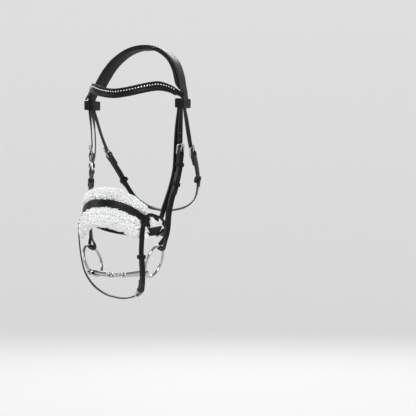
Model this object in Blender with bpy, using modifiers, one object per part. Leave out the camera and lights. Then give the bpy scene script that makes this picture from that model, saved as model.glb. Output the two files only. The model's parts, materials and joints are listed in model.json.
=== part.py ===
"""Snaffle bridle with a sheepskin noseband, flash strap and jewelled browband.

Frame: metres, +Z up, the horse faces -Y and its left side is +X. The origin is the
underside of the headpiece padding at the poll. Lengths below are in millimetres and
become metres when a shape is placed.
"""
import math

import bmesh
import bpy
from mathutils import Matrix, Vector

MM = 0.001

# Driving dimensions, millimetres
STRAP_WIDTH = 13.0           # cheekpieces, throatlatch, hangers and jaw strap
FLASH_WIDTH = 12.0
LEATHER = 2.6                # one thickness of strap leather
PLY_GAP = 0.5                # between the two plies of a folded strap
CLEAR = 0.5                  # running gap between separate pieces
WIRE = 1.5                   # radius of the buckle wire
TONGUE_WIRE = 1.0
BUCKLE_LENGTH = 20.0         # heel bar to front bar
CORNER = 4.0                 # corner radius at the buckle's front bar
HEEL_CORNER = 1.8            # and at its heel bar
KEEPER_BAND = 8.0
KEEPER_THICK = 1.7

HEADPIECE_WIDTH = 36.0
HEADPIECE_END_WIDTH = 28.0
PADDING_THICK = 7.0
SEAT_HALF = 9.0              # flat part of the padding that rests on the poll

BROWBAND_WIDTH = 21.0
BROWBAND_LINING = 3.6
CRYSTAL_ROW = 3.4            # the stones' line above the browband's middle

NOSE_WIDTH = 18.0
FLEECE_UPPER = 12.5          # half height of the upper roll
FLEECE_LOWER = 20.0
FLEECE_DEPTH = 12.5          # half thickness of the rolls at the middle
FLEECE_END_DEPTH = 6.0

RING_RADIUS = 35.0           # centre line of the loose ring
RING_WIRE = 3.0
BOSS_RADIUS = 7.2
BOSS_BORE = 4.9
CANNON_END_RADIUS = 6.6
CANNON_WAIST_RADIUS = 5.0
DROOP_DEG = 8.0              # how far each cannon hangs below a straight mouthpiece
EYE_RADIUS = 5.2             # centre line of the mouthpiece's linked eyes
EYE_WIRE = 2.0
LINK_HALF = 14.0             # half the distance between the two link joints

# Places on the left side, millimetres
RING_CENTRE = Vector((75.0, -106.0, -462.0))
RING_TILT_DEG = 18.0         # the ring's top leans outward
CHEEK_ON_RING_DEG = 66.0
BOSS_ON_RING_DEG = 226.0
LOOP_AXIS = Vector((114.0, -46.0, -124.0))   # middle of the browband loop

OUT = Vector((1.0, 0.0, 0.0))


def ring_point(angle_deg):
    """A point on the centre line of the left ring."""
    tilt = math.radians(RING_TILT_DEG)
    angle = math.radians(angle_deg)
    forward = Vector((0.0, 1.0, 0.0))
    upward = Vector((math.sin(tilt), 0.0, math.cos(tilt)))
    return RING_CENTRE + RING_RADIUS * (math.cos(angle) * forward + math.sin(angle) * upward)


RING_NORMAL = Vector((math.cos(math.radians(RING_TILT_DEG)), 0.0,
                      -math.sin(math.radians(RING_TILT_DEG))))
CHEEK_END = ring_point(CHEEK_ON_RING_DEG)
BOSS = ring_point(BOSS_ON_RING_DEG)


class Route:
    """A smooth line through given points, with the direction that faces away from the head."""

    STEPS = 24

    def __init__(self, stations):
        points = [Vector(p) for p, _ in stations]
        hints = [Vector(h) for _, h in stations]
        before = points[0] * 2.0 - points[1]
        after = points[-1] * 2.0 - points[-2]
        padded = [before] + points + [after]
        self.points = []
        self.hints = []
        for i in range(len(points) - 1):
            for k in range(self.STEPS):
                t = k / self.STEPS
                self.points.append(catmull_rom(padded[i:i + 4], t))
                self.hints.append(hints[i].lerp(hints[i + 1], t))
        self.points.append(points[-1])
        self.hints.append(hints[-1])
        self.marks = [0.0]
        for a, b in zip(self.points, self.points[1:]):
            self.marks.append(self.marks[-1] + (b - a).length)
        self.length = self.marks[-1]

    def frame(self, s):
        """Point, direction along, direction across and direction outward at length s."""
        last = len(self.marks) - 2
        i = 0
        while i < last and self.marks[i + 1] < s:
            i += 1
        t = (s - self.marks[i]) / (self.marks[i + 1] - self.marks[i])
        point = self.points[i] + (self.points[i + 1] - self.points[i]) * t
        t = min(1.0, max(0.0, t))
        ahead = self.points[min(i + 2, last + 1)] - self.points[i]
        behind = self.points[i + 1] - self.points[max(i - 1, 0)]
        along = behind.normalized().lerp(ahead.normalized(), t).normalized()
        hint = self.hints[i].lerp(self.hints[i + 1], t)
        outward = (hint - along * hint.dot(along)).normalized()
        return point, along, along.cross(outward), outward

    def place(self, s, across, height, side=1):
        """The point at length s, moved across and outward, mirrored when side is -1."""
        point, _, sideways, outward = self.frame(s)
        spot = point + sideways * across + outward * height
        return Vector((spot.x * side, spot.y, spot.z)) * MM

    def station_at(self, target):
        """Length along the route of the sample nearest to a point."""
        target = Vector(target)
        best = min(range(len(self.points)), key=lambda i: (self.points[i] - target).length)
        return self.marks[best]


def catmull_rom(p, t):
    return 0.5 * (2.0 * p[1] + (p[2] - p[0]) * t
                  + (2.0 * p[0] - 5.0 * p[1] + 4.0 * p[2] - p[3]) * t * t
                  + (3.0 * p[1] - p[0] - 3.0 * p[2] + p[3]) * t * t * t)


def mirrored_stations(half):
    """A route from the right side to the left, from the stations of its left half."""
    right = [((-p[0], p[1], p[2]), (-h[0], h[1], h[2]))
             for p, h in reversed(half) if p[0] > 0.0]
    return right + list(half)


# Routes. Each station is a point and the outward direction there.
CROWN = Route(mirrored_stations([
    ((0.0, 0.0, 0.0), (0.0, 0.0, 1.0)),
    ((36.0, -2.5, -7.0), (0.35, 0.0, 0.94)),
    ((66.0, -10.0, -28.0), (0.75, 0.0, 0.66)),
    ((84.0, -20.0, -54.0), (0.92, 0.0, 0.38)),
    ((96.0, -31.0, -82.0), (0.96, 0.0, 0.28)),
    ((105.5, -39.5, -106.0), (0.98, 0.0, 0.2)),
    ((109.5, -43.0, -124.0), (0.99, 0.0, 0.1)),
    ((110.5, -43.5, -136.0), (1.0, 0.0, 0.0)),
]))
LOOP_LINE = Route([((109.8, -43.5, -105.0), OUT), ((109.8, -43.5, -139.0), OUT)])
BROW = Route(mirrored_stations([
    ((0.0, -140.0, -105.0), (0.0, -1.0, 0.25)),
    ((28.0, -134.5, -101.5), (0.25, -0.95, 0.25)),
    ((50.0, -122.0, -95.5), (0.5, -0.85, 0.24)),
    ((66.0, -106.0, -90.5), (0.68, -0.72, 0.22)),
    ((78.0, -91.0, -88.5), (0.8, -0.6, 0.2)),
    ((93.0, -72.0, -93.5), (0.88, -0.46, 0.15)),
    ((106.0, -57.0, -105.0), (0.94, -0.3, 0.1)),
    ((116.5, -47.5, -120.0), (0.98, -0.15, 0.0)),
]))
FACING = Vector((0.88, -0.47, 0.0))          # the straps on the cheeks face a little forward
CHEEK = Route([
    ((112.5, -53.5, -118.0), OUT),
    ((112.0, -53.0, -140.0), (0.98, -0.15, 0.0)),
    ((109.5, -51.0, -180.0), FACING),
    ((108.0, -50.0, -229.0), FACING),
    ((106.5, -52.0, -262.0), FACING),
    ((103.0, -62.5, -300.0), FACING),
    ((98.5, -73.5, -335.0), FACING),
    ((95.8, -79.0, -362.0), FACING),
    ((94.5, -81.0, -388.0), FACING),
    ((92.0, -84.5, -410.0), (0.93, -0.25, -0.1)),
    (CHEEK_END, (0.95, -0.08, -0.25)),
    (CHEEK_END + Vector((-4.0, -5.0, -18.0)), (0.95, -0.08, -0.25)),
])
THROAT = Route([
    ((112.5, -38.0, -120.0), OUT),
    ((112.2, -35.0, -136.0), OUT),
    ((110.5, -24.0, -156.0), (0.98, -0.15, 0.0)),
    ((108.0, -8.0, -188.0), (0.96, -0.26, 0.0)),
    ((104.5, 12.0, -220.0), (0.98, -0.18, 0.0)),
    ((100.0, 36.0, -246.0), (0.99, 0.0, 0.0)),
    ((94.0, 58.0, -272.0), (0.97, 0.2, -0.05)),
    ((87.0, 76.0, -300.0), (0.9, 0.3, -0.25)),
    ((73.0, 90.0, -326.0), (0.7, 0.4, -0.6)),
    ((50.0, 99.0, -342.0), (0.4, 0.35, -0.85)),
    ((25.0, 103.0, -349.0), (0.15, 0.3, -0.95)),
    ((0.0, 104.0, -351.0), (0.0, 0.3, -0.95)),
])
HANGER = Route([                             # under the cheekpiece, then forward
    ((107.2, -53.5, -118.0), OUT),
    ((105.0, -53.0, -140.0), OUT),
    ((101.3, -50.5, -175.0), FACING),
    ((98.2, -48.3, -203.0), FACING),
    ((96.5, -47.6, -232.0), FACING),
    ((95.0, -50.0, -266.0), FACING),
    ((91.6, -60.0, -300.0), FACING),
    ((87.9, -71.2, -327.0), FACING),
    ((86.0, -81.5, -346.0), FACING),
    ((85.8, -91.5, -361.0), (0.93, -0.3, 0.0)),
    ((86.5, -101.0, -374.0), (0.97, -0.2, 0.0)),
])
BUCKLED_HANGER = Route([                     # in front of the cheekpiece, clear of its buckle
    ((107.2, -53.5, -118.0), OUT),
    ((105.0, -53.0, -140.0), OUT),
    ((101.0, -51.5, -175.0), FACING),
    ((99.0, -52.0, -203.0), FACING),
    ((97.0, -56.5, -226.0), FACING),
    ((96.0, -65.5, -246.0), FACING),
    ((95.7, -71.0, -268.0), FACING),
    ((93.6, -78.5, -298.0), FACING),
    ((91.2, -85.5, -327.0), FACING),
    ((88.5, -94.0, -354.0), (0.93, -0.3, 0.0)),
    ((86.5, -101.0, -374.0), (0.97, -0.2, 0.0)),
])
NOSE = Route(mirrored_stations([
    ((0.0, -197.0, -339.0), (0.0, -1.0, 0.25)),
    ((28.0, -191.5, -342.0), (0.3, -0.95, 0.25)),
    ((50.0, -175.0, -352.0), (0.62, -0.78, 0.22)),
    ((63.0, -159.0, -363.0), (0.82, -0.57, 0.18)),
    ((71.5, -145.0, -376.0), (0.92, -0.38, 0.1)),
    ((74.0, -137.0, -399.0), (0.93, -0.35, 0.05)),
]))
FLEECE_LINE = Route(mirrored_stations([
    ((0.0, -197.0, -339.0), (0.0, -1.0, 0.25)),
    ((28.0, -191.5, -342.0), (0.3, -0.95, 0.25)),
    ((50.0, -175.0, -352.0), (0.62, -0.78, 0.22)),
    ((63.0, -159.0, -362.0), (0.82, -0.57, 0.18)),
    ((72.0, -143.5, -371.0), (0.92, -0.38, 0.1)),
    ((79.0, -127.0, -377.0), (0.95, -0.3, 0.05)),
]))
SIDE = Route([
    ((75.3, -138.5, -361.5), (0.92, -0.38, 0.1)),
    ((78.3, -131.0, -363.0), (0.94, -0.34, 0.05)),
    ((82.0, -121.0, -366.0), (0.96, -0.26, 0.0)),
    ((86.5, -107.0, -371.5), (0.98, -0.15, 0.0)),
])
JAW = Route([
    ((87.5, -96.0, -376.0), (0.98, 0.0, 0.0)),
    ((84.0, -76.0, -384.0), (0.97, 0.15, -0.1)),
    ((74.5, -50.0, -393.0), (0.85, 0.35, -0.35)),
    ((55.0, -28.0, -400.0), (0.6, 0.55, -0.6)),
    ((28.0, -14.0, -404.0), (0.25, 0.6, -0.75)),
    ((0.0, -10.0, -405.0), (0.0, 0.6, -0.8)),
    ((-28.0, -14.0, -404.0), (-0.25, 0.6, -0.75)),
    ((-55.0, -28.0, -400.0), (-0.6, 0.55, -0.6)),
    ((-74.5, -50.0, -393.0), (-0.85, 0.35, -0.35)),
    ((-84.0, -76.0, -384.0), (-0.97, 0.15, -0.1)),
    ((-87.5, -96.0, -376.0), (-0.98, 0.0, 0.0)),
])
FLASH = Route([
    ((77.5, -162.5, -383.0), (0.88, -0.47, 0.0)),
    ((76.0, -164.5, -405.0), (0.88, -0.47, 0.0)),
    ((73.5, -163.0, -438.0), (0.88, -0.47, 0.0)),
    ((71.5, -158.5, -462.0), (0.88, -0.47, -0.05)),
    ((68.0, -149.5, -488.0), (0.85, -0.4, -0.3)),
    ((57.0, -132.0, -515.0), (0.7, -0.15, -0.7)),
    ((38.5, -115.0, -533.0), (0.35, 0.0, -0.93)),
    ((18.0, -106.0, -540.0), (0.12, 0.05, -0.99)),
    ((0.0, -104.5, -542.0), (0.0, 0.05, -1.0)),
    ((-18.0, -106.0, -540.0), (-0.12, 0.05, -0.99)),
    ((-38.5, -115.0, -533.0), (-0.35, 0.0, -0.93)),
    ((-57.0, -132.0, -515.0), (-0.7, -0.15, -0.7)),
    ((-68.0, -149.5, -488.0), (-0.85, -0.4, -0.3)),
    ((-71.5, -158.5, -462.0), (-0.88, -0.47, -0.05)),
    ((-73.5, -163.0, -438.0), (-0.88, -0.47, 0.0)),
    ((-76.0, -164.5, -405.0), (-0.88, -0.47, 0.0)),
    ((-77.5, -162.5, -383.0), (-0.88, -0.47, 0.0)),
])


# Scene, materials and small helpers

def clear_scene():
    for item in list(bpy.data.objects):
        bpy.data.objects.remove(item, do_unlink=True)


def make_collection(name):
    group = bpy.data.collections.new(name)
    bpy.context.scene.collection.children.link(group)
    return group


def make_material(name, colour, roughness, metallic):
    material = bpy.data.materials.new(name)
    material.use_nodes = True
    shader = material.node_tree.nodes["Principled BSDF"]
    shader.inputs["Base Color"].default_value = (*colour, 1.0)
    shader.inputs["Roughness"].default_value = roughness
    shader.inputs["Metallic"].default_value = metallic
    material.diffuse_color = (*colour, 1.0)
    return material


clear_scene()
PARTS = make_collection("snaffle_bridle")
CUTTERS = make_collection("cutters")
MATERIALS = {
    "leather": make_material("leather", (0.012, 0.011, 0.012), 0.42, 0.0),
    "padding": make_material("padding", (0.02, 0.019, 0.02), 0.6, 0.0),
    "steel": make_material("steel", (0.75, 0.75, 0.77), 0.15, 1.0),
    "fleece": make_material("fleece", (0.92, 0.9, 0.87), 0.95, 0.0),
    "crystal": make_material("crystal", (0.9, 0.92, 0.95), 0.05, 0.3),
}


def add_object(name, mesh, look, origin=None):
    """Make the object, with its origin on a joint's axis when one is given (metres)."""
    item = bpy.data.objects.new(name, mesh)
    if origin is not None:
        for vertex in mesh.vertices:
            vertex.co -= origin
        item.location = origin
    mesh.materials.append(MATERIALS[look])
    PARTS.objects.link(item)
    return item


def finish_mesh(name, bm):
    bm.normal_update()
    bmesh.ops.recalc_face_normals(bm, faces=bm.faces)
    mesh = bpy.data.meshes.new(name)
    bm.to_mesh(mesh)
    bm.free()
    return mesh


def long_box(rings):
    """A unit box along X with the given number of vertex rings."""
    bm = bmesh.new()
    bmesh.ops.create_cube(bm, size=1.0)
    long_edges = [e for e in bm.edges if abs(e.verts[0].co.x - e.verts[1].co.x) > 0.5]
    bmesh.ops.subdivide_edges(bm, edges=long_edges, cuts=rings - 2)
    return bm


def side_name(side):
    return "left" if side > 0 else "right"


# Straps

def spaced(start, stop, step):
    count = max(1, round(abs(stop - start) / step))
    return [start + (stop - start) * i / count for i in range(count + 1)]


def run(start, stop, height, step=9.0):
    """Profile points at one height above the route."""
    return [(s, height) for s in spaced(start, stop, step)]


def turn(centre, height, radius, first_deg, last_deg, count):
    """Profile points round a bar that lies across the route."""
    step = abs(last_deg - first_deg) / count
    angles = [math.radians(a) for a in spaced(first_deg, last_deg, step)]
    return [(centre + radius * math.cos(a), height + radius * math.sin(a)) for a in angles]


def strap(name, route, profile, width, side=1, look="leather", thick=LEATHER, origin=None,
          across=0.0):
    """A strap that follows a profile of (length, height) points along a route.

    width is a number, or a function of the ring's number and of the number of rings.
    """
    bm = long_box(len(profile))
    last = len(profile) - 1
    for vertex in bm.verts:
        ring = round((vertex.co.x + 0.5) * last)
        s, height = profile[ring]
        before = profile[max(ring - 1, 0)]
        after = profile[min(ring + 1, last)]
        lean = Vector((before[1] - after[1], after[0] - before[0])).normalized()
        offset = vertex.co.z * thick
        span = width(ring, last) if callable(width) else width
        vertex.co = route.place(s + lean.x * offset, across + vertex.co.y * span,
                                height + lean.y * offset, side)
    return add_object(name, finish_mesh(name, bm), look, origin)


def pointed(width, tip_at_end=True, steps=3, narrowest=0.35):
    """Strap width that narrows over the last few rings to a blunt point."""
    def span(ring, last):
        from_tip = last - ring if tip_at_end else ring
        return width * min(1.0, narrowest + (1.0 - narrowest) * from_tip / steps)
    return span


def block(name, route, lengths, acrosses, heights, side=1):
    """A box cutter laid out in a route's own directions."""
    bm = bmesh.new()
    bmesh.ops.create_cube(bm, size=1.0)
    for vertex in bm.verts:
        s = lengths[0] if vertex.co.x < 0 else lengths[1]
        a = acrosses[0] if vertex.co.y < 0 else acrosses[1]
        h = heights[0] if vertex.co.z < 0 else heights[1]
        vertex.co = route.place(s, a, h, side)
    item = bpy.data.objects.new(name, finish_mesh(name, bm))
    item.hide_render = True
    item.display_type = "WIRE"
    CUTTERS.objects.link(item)
    return item


def cut(item, cutter):
    modifier = item.modifiers.new("cut_" + cutter.name, "BOOLEAN")
    modifier.operation = "DIFFERENCE"
    modifier.solver = "EXACT"
    modifier.object = cutter


def band(name, route, s, half_across, heights, side=1, length=KEEPER_BAND, thick=KEEPER_THICK,
         origin=None, across=0.0):
    """A leather loop round a strap: an open sleeve with a wall."""
    bm = bmesh.new()
    segments = 12
    bmesh.ops.create_cone(bm, cap_ends=False, segments=segments, radius1=1.0, radius2=1.0,
                          depth=1.0)
    middle = (heights[0] + heights[1]) / 2.0
    half_height = (heights[1] - heights[0]) / 2.0
    for vertex in bm.verts:
        number = round(math.atan2(vertex.co.y, vertex.co.x) / math.tau * segments) % segments
        a, h = round_cornered(number, half_across, half_height)
        vertex.co = route.place(s + vertex.co.z * length, across + a, middle + h, side)
    bm.normal_update()
    bmesh.ops.recalc_face_normals(bm, faces=bm.faces)
    bm.normal_update()
    centre = route.place(s, across, middle, side)
    point_away(bm, centre)
    mesh = bpy.data.meshes.new(name)
    bm.to_mesh(mesh)
    bm.free()
    item = add_object(name, mesh, "leather", origin)
    wall = item.modifiers.new("wall", "SOLIDIFY")
    wall.thickness = thick * MM
    wall.offset = 1.0
    wall.use_even_offset = True
    return item


def round_cornered(number, half_across, half_height, radius=0.8):
    """Point of a rectangle with round corners, three points to a corner."""
    corner, step = divmod(number, 3)
    angle = math.radians(90.0 * corner + 45.0 * step)
    sign_a = (1, -1, -1, 1)[corner]
    sign_h = (1, 1, -1, -1)[corner]
    return (sign_a * (half_across - radius) + radius * math.cos(angle),
            sign_h * (half_height - radius) + radius * math.sin(angle))


def point_away(bm, centre):
    """Turn an open sleeve's faces away from its middle."""
    total = sum(f.normal.dot(f.calc_center_median() - centre) for f in bm.faces)
    if total < 0:
        bmesh.ops.reverse_faces(bm, faces=bm.faces)


def wire(name, points, radius, closed=False, origin=None, look="steel", resolution=2):
    """A bent wire through points in metres."""
    curve = bpy.data.curves.new(name, "CURVE")
    curve.dimensions = "3D"
    curve.bevel_depth = radius * MM
    curve.bevel_resolution = resolution
    curve.use_fill_caps = True
    spline = curve.splines.new("POLY")
    spline.points.add(len(points) - 1)
    base = origin if origin is not None else Vector((0.0, 0.0, 0.0))
    for slot, point in zip(spline.points, points):
        slot.co = (*(point - base), 1.0)
    spline.use_cyclic_u = closed
    item = bpy.data.objects.new(name, curve)
    item.location = base
    curve.materials.append(MATERIALS[look])
    PARTS.objects.link(item)
    return item


# Buckles. Lengths are counted from the heel bar, towards the strap that carries the buckle.

PLY = (LEATHER + PLY_GAP) / 2.0                  # height of a folded strap's outer ply
FOLD_RADIUS = WIRE + CLEAR + LEATHER / 2.0       # leather round the heel bar
BILLET_ON_TOP = PLY + LEATHER + CLEAR + 0.2      # billet lying on the buckle's strap
BILLET_OVER_BAR = FOLD_RADIUS + LEATHER + CLEAR + 0.1
BILLET_LOW = 0.2                                 # billet under the front bar
FRONT_BAR_HEIGHT = BILLET_LOW + LEATHER / 2.0 + CLEAR + WIRE
CHAPE = 30.0                                     # length folded back behind the buckle's strap


def buckle_strap_profile(bar, end, step=9.0):
    """Folded ply, turn round the heel bar, then the strap itself out to its end."""
    fold_end = bar + (CHAPE if end > bar else -CHAPE)
    ahead = 1.0 if end > bar else -1.0
    inner = run(fold_end, bar + ahead * 6.0, -PLY, 8.0)
    around = [(bar + ahead * s, h) for s, h in turn(0.0, 0.0, FOLD_RADIUS, -70.0, -290.0, 11)]
    outer = run(bar + ahead * 6.0, end, PLY, step)
    return inner + around + outer


def billet_profile(bar, start, tip, step=9.0):
    """From the far end, under the front bar, over the heel bar and on to the tip."""
    toward = 1.0 if tip > bar else -1.0
    far = run(start, bar - toward * 24.0, BILLET_LOW, step)
    climb = [(-20.0, 0.2), (-16.0, 0.7), (-12.0, 2.0), (-8.0, 3.6), (-4.0, 5.2), (0.0, BILLET_OVER_BAR),
             (4.0, BILLET_OVER_BAR - 0.1), (8.0, BILLET_OVER_BAR - 0.7), (12.0, BILLET_ON_TOP + 0.3)]
    rise = [(bar + toward * s, h) for s, h in climb]
    rest = run(bar + toward * 16.0, tip - toward * 9.0, BILLET_ON_TOP, step)
    point = [(tip - toward * d, BILLET_ON_TOP) for d in (6.0, 3.0, 0.0)]
    return far + rise + rest + point


def buckle(name, route, bar, toward, width, side=1):
    """The wire frame: heel bar, two side bars and a front bar."""
    half = width / 2.0 + CLEAR + WIRE
    outline = []
    corners = [(0.0, 1, 180.0, HEEL_CORNER), (BUCKLE_LENGTH, 1, 90.0, CORNER),
               (BUCKLE_LENGTH, -1, 0.0, CORNER), (0.0, -1, -90.0, HEEL_CORNER)]
    for end, way, first, radius in corners:
        centre_s = radius if end == 0.0 else end - radius
        centre_a = way * (half - radius)
        for angle in spaced(first, first - 90.0, 45.0):
            a = math.radians(angle)
            outline.append((centre_s + radius * math.cos(a), centre_a + radius * math.sin(a)))
    points = []
    for s, a in outline:
        share = s / BUCKLE_LENGTH
        points.append(route.place(bar - toward * s, a, FRONT_BAR_HEIGHT * share, side))
    return wire(name, points, WIRE, closed=True)


def tongue(name, route, bar, toward, side=1):
    """A wire tongue curled round the heel bar and resting on the front bar."""
    radius = WIRE + CLEAR + TONGUE_WIRE
    rise = 10.6
    curl = [(radius * math.cos(math.radians(a)), radius * math.sin(math.radians(a)))
            for a in spaced(-185.0, 90.0 - rise, 33.0)]
    end = BUCKLE_LENGTH + 2.5
    start_s, start_h = curl[-1]
    slope = math.tan(math.radians(rise))
    arm = [(-s, start_h + (start_s + s) * slope) for s in (9.0, end)]
    points = [route.place(bar + toward * s, 0.0, h, side) for s, h in curl + arm]
    return wire(name, points, TONGUE_WIRE, origin=route.place(bar, 0.0, 0.0, side), resolution=1)


def cut_for_tongue(label, route, bar, toward, strap_item, billet_item, side=1):
    """Slot in the folded strap for the tongue's curl, and the hole in the billet."""
    ends = sorted((bar - toward * 6.0, bar + toward * 5.5))
    slot = block(label + "_slot", route, ends, (-1.9, 1.9), (-6.0, 6.5), side)
    cut(strap_item, slot)
    ends = sorted((bar - toward * 13.2, bar + toward * 1.4))
    hole = block(label + "_hole", route, ends, (-1.6, 1.6), (-3.0, 11.0), side)
    cut(billet_item, hole)


KEEPER_HEIGHTS = (-PLY - LEATHER / 2.0 - CLEAR, BILLET_ON_TOP + LEATHER / 2.0 + CLEAR)


# The pieces

def make_headpiece():
    half = CROWN.length / 2.0
    end = half - 3.0
    inner = half - 44.0

    def leather_width(ring, last):
        share = abs(ring / last - 0.5) * 2.0
        return HEADPIECE_WIDTH + (HEADPIECE_END_WIDTH - HEADPIECE_WIDTH) * share ** 2

    heights = PADDING_THICK + CLEAR + 0.3 + LEATHER / 2.0
    profile = []
    for offset in spaced(-end, end, 8.5):
        lap = max(0.0, (abs(offset) - inner) / (end - inner))
        profile.append((half + offset, heights - 2.5 * lap))
    strap("headpiece", CROWN, profile, leather_width)

    def padding_width(ring, last):
        return (HEADPIECE_WIDTH + 8.0) * (0.55 if ring in (0, last) else 1.0)

    count = 25
    lengths = [half + inner * (2.0 * i / count - 1.0) for i in range(count + 1)]
    body = strap("headpiece_padding", CROWN, [(s, PADDING_THICK / 2.0) for s in lengths],
                 padding_width, look="padding", thick=PADDING_THICK)
    for vertex in body.data.vertices:
        if abs(vertex.co.x) < SEAT_HALF * MM and vertex.co.z < 2.0 * MM:
            vertex.co.z = 0.0


def make_browband():
    half = BROW.length / 2.0
    end = half - 25.0
    lengths = spaced(half - end, half + end, 9.0)
    taper = pointed(1.0, steps=5, narrowest=0.62)
    taper_start = pointed(1.0, tip_at_end=False, steps=5, narrowest=0.62)

    def span(width):
        return lambda ring, last: width * taper(ring, last) * taper_start(ring, last)

    strap("browband_lining", BROW, [(s, BROWBAND_LINING / 2.0) for s in lengths],
          span(BROWBAND_WIDTH - 2.0), look="padding", thick=BROWBAND_LINING)
    base = BROWBAND_LINING + CLEAR + 0.2
    tab = half - 13.0                            # the leather runs on to the loop
    outer = [half - tab] + lengths + [half + tab]
    rise = [4.8] + [1.2] + [0.0] * (len(lengths) - 2) + [1.2] + [4.8]
    strap("browband", BROW, [(s, base + 1.8 + lift) for s, lift in zip(outer, rise)],
          span(BROWBAND_WIDTH), thick=3.6)
    row = half - 36.0
    stones = spaced(half - row, half + row, 6.0)
    strap("crystal_strip", BROW, [(s, base + 3.6 + CLEAR + 1.1) for s in stones], 4.4,
          look="crystal", thick=1.6, across=-CRYSTAL_ROW)


def make_browband_loop(side):
    """Leather loop at the browband's end, round the headpiece end and the straps in it."""
    band(side_name(side) + "_browband_loop", LOOP_LINE, LOOP_LINE.length / 2.0,
         HEADPIECE_END_WIDTH / 2.0 + 4.8, (-6.0, 10.5), side, length=20.0, thick=2.4)


def make_cheek(side):
    label = side_name(side)
    bar = CHEEK.station_at((108.0, -50.0, -231.0))
    ring_at = CHEEK.station_at(CHEEK_END)
    loop_radius = RING_WIRE + 2.4 + LEATHER / 2.0
    neck = ring_at - 22.0
    fold = buckle_strap_profile(bar, neck)
    opening = [(neck + 5.0, PLY + 0.8), (neck + 11.0, PLY + 2.6),
               (neck + 16.5, loop_radius - 0.9)]
    around = turn(ring_at, 0.0, loop_radius, 80.0, -80.0, 9)
    closing = [(s, -h) for s, h in reversed(opening)]
    back = run(neck, bar + CHAPE + 12.0, -PLY)
    cheekpiece = strap(label + "_cheekpiece", CHEEK, fold + opening + around + closing + back,
                       STRAP_WIDTH, side)
    billet = strap(label + "_cheek_billet", CHEEK, billet_profile(bar, 2.0, bar + 96.0),
                   pointed(STRAP_WIDTH - 0.5), side)
    cut_for_tongue(label + "_cheek", CHEEK, bar, 1.0, cheekpiece, billet, side)
    buckle(label + "_cheek_buckle", CHEEK, bar, 1.0, STRAP_WIDTH, side)
    tongue(label + "_cheek_tongue", CHEEK, bar, 1.0, side)
    keeper_half = STRAP_WIDTH / 2.0 + CLEAR
    band(label + "_cheek_keeper", CHEEK, bar + 24.0, keeper_half, KEEPER_HEIGHTS, side)
    runner_at = bar + 68.0
    origin = CHEEK.place(runner_at, 0.0, 0.0, side)
    band(label + "_cheek_runner", CHEEK, runner_at, keeper_half, KEEPER_HEIGHTS, side, origin=origin)


def make_throat():
    bar = THROAT.station_at((103.0, 20.0, -229.0))
    both = mirrored_throat()
    total = both.length
    left_fold = buckle_strap_profile(bar, total / 2.0)
    right_fold = [(total - s, h) for s, h in reversed(left_fold)]
    profile = left_fold + right_fold[1:]
    throatlatch = strap("throatlatch", both, profile, STRAP_WIDTH)
    for side in (1, -1):
        label = side_name(side)
        pivot = Vector((LOOP_AXIS.x * side, -40.0, LOOP_AXIS.z)) * MM
        billet = strap(label + "_throat_billet", THROAT, billet_profile(bar, 1.0, bar + 92.0),
                       pointed(STRAP_WIDTH - 0.5), side)
        cut_for_tongue(label + "_throat", THROAT, bar, 1.0, throatlatch, billet, side)
        buckle(label + "_throat_buckle", THROAT, bar, 1.0, STRAP_WIDTH, side)
        tongue(label + "_throat_tongue", THROAT, bar, 1.0, side)
        band(label + "_throat_keeper", THROAT, bar + 74.0, STRAP_WIDTH / 2.0 + CLEAR,
             KEEPER_HEIGHTS, side)
        set_origin(billet, pivot)


def set_origin(item, origin):
    for vertex in item.data.vertices:
        vertex.co -= origin
    item.location = origin


def mirrored_throat():
    """The throatlatch's whole route, from the left loop to the right one."""
    points = THROAT.points[::Route.STEPS]
    hints = THROAT.hints[::Route.STEPS]
    left = [(tuple(p), tuple(h)) for p, h in zip(points, hints)]
    right = [((-p[0], p[1], p[2]), (-h[0], h[1], h[2])) for p, h in reversed(left[:-1])]
    return Route(left + right)


def make_hangers():
    pivot = Vector((0.0, LOOP_AXIS.y, LOOP_AXIS.z)) * MM
    strap("left_hanger", HANGER, run(2.0, HANGER.length - 2.0, PLY), STRAP_WIDTH,
          origin=pivot)
    route = BUCKLED_HANGER
    bar = route.station_at((95.7, -71.0, -268.0))
    hanger = strap("right_hanger", route, buckle_strap_profile(bar, route.length - 2.0),
                   STRAP_WIDTH, side=-1)
    billet = strap("right_hanger_billet", route, billet_profile(bar, 2.0, bar + 62.0, 7.0),
                   pointed(STRAP_WIDTH - 0.5), side=-1, origin=pivot)
    cut_for_tongue("hanger", route, bar, 1.0, hanger, billet, side=-1)
    buckle("hanger_buckle", route, bar, 1.0, STRAP_WIDTH, side=-1)
    tongue("hanger_tongue", route, bar, 1.0, side=-1)
    band("hanger_keeper", route, bar + 22.0, STRAP_WIDTH / 2.0 + CLEAR, KEEPER_HEIGHTS,
         side=-1)


def roll(name, route, lengths, middle, half_across, half_height, around=14, along=28):
    """A soft roll with round ends, laid along a route.

    middle, half_across and half_height are (at the centre, at the ends).
    """
    bm = bmesh.new()
    bmesh.ops.create_uvsphere(bm, u_segments=around, v_segments=along, radius=1.0)
    centre = (lengths[0] + lengths[1]) / 2.0
    half = (lengths[1] - lengths[0]) / 2.0
    for vertex in bm.verts:
        z = max(-1.0, min(1.0, vertex.co.z))
        position = 2.0 / math.pi * math.asin(z) if abs(z) < 1.0 else z
        radius = math.sqrt(max(0.0, 1.0 - abs(position) ** 5))
        angle = math.atan2(vertex.co.y, vertex.co.x)
        share = position * position
        a = middle[0] + (middle[1] - middle[0]) * share
        span = half_across[0] + (half_across[1] - half_across[0]) * share
        depth = half_height[0] + (half_height[1] - half_height[0]) * share
        vertex.co = route.place(centre + half * position, a + span * radius * math.cos(angle),
                                depth * radius * math.sin(angle))
    return add_object(name, finish_mesh(name, bm), "fleece")


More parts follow.
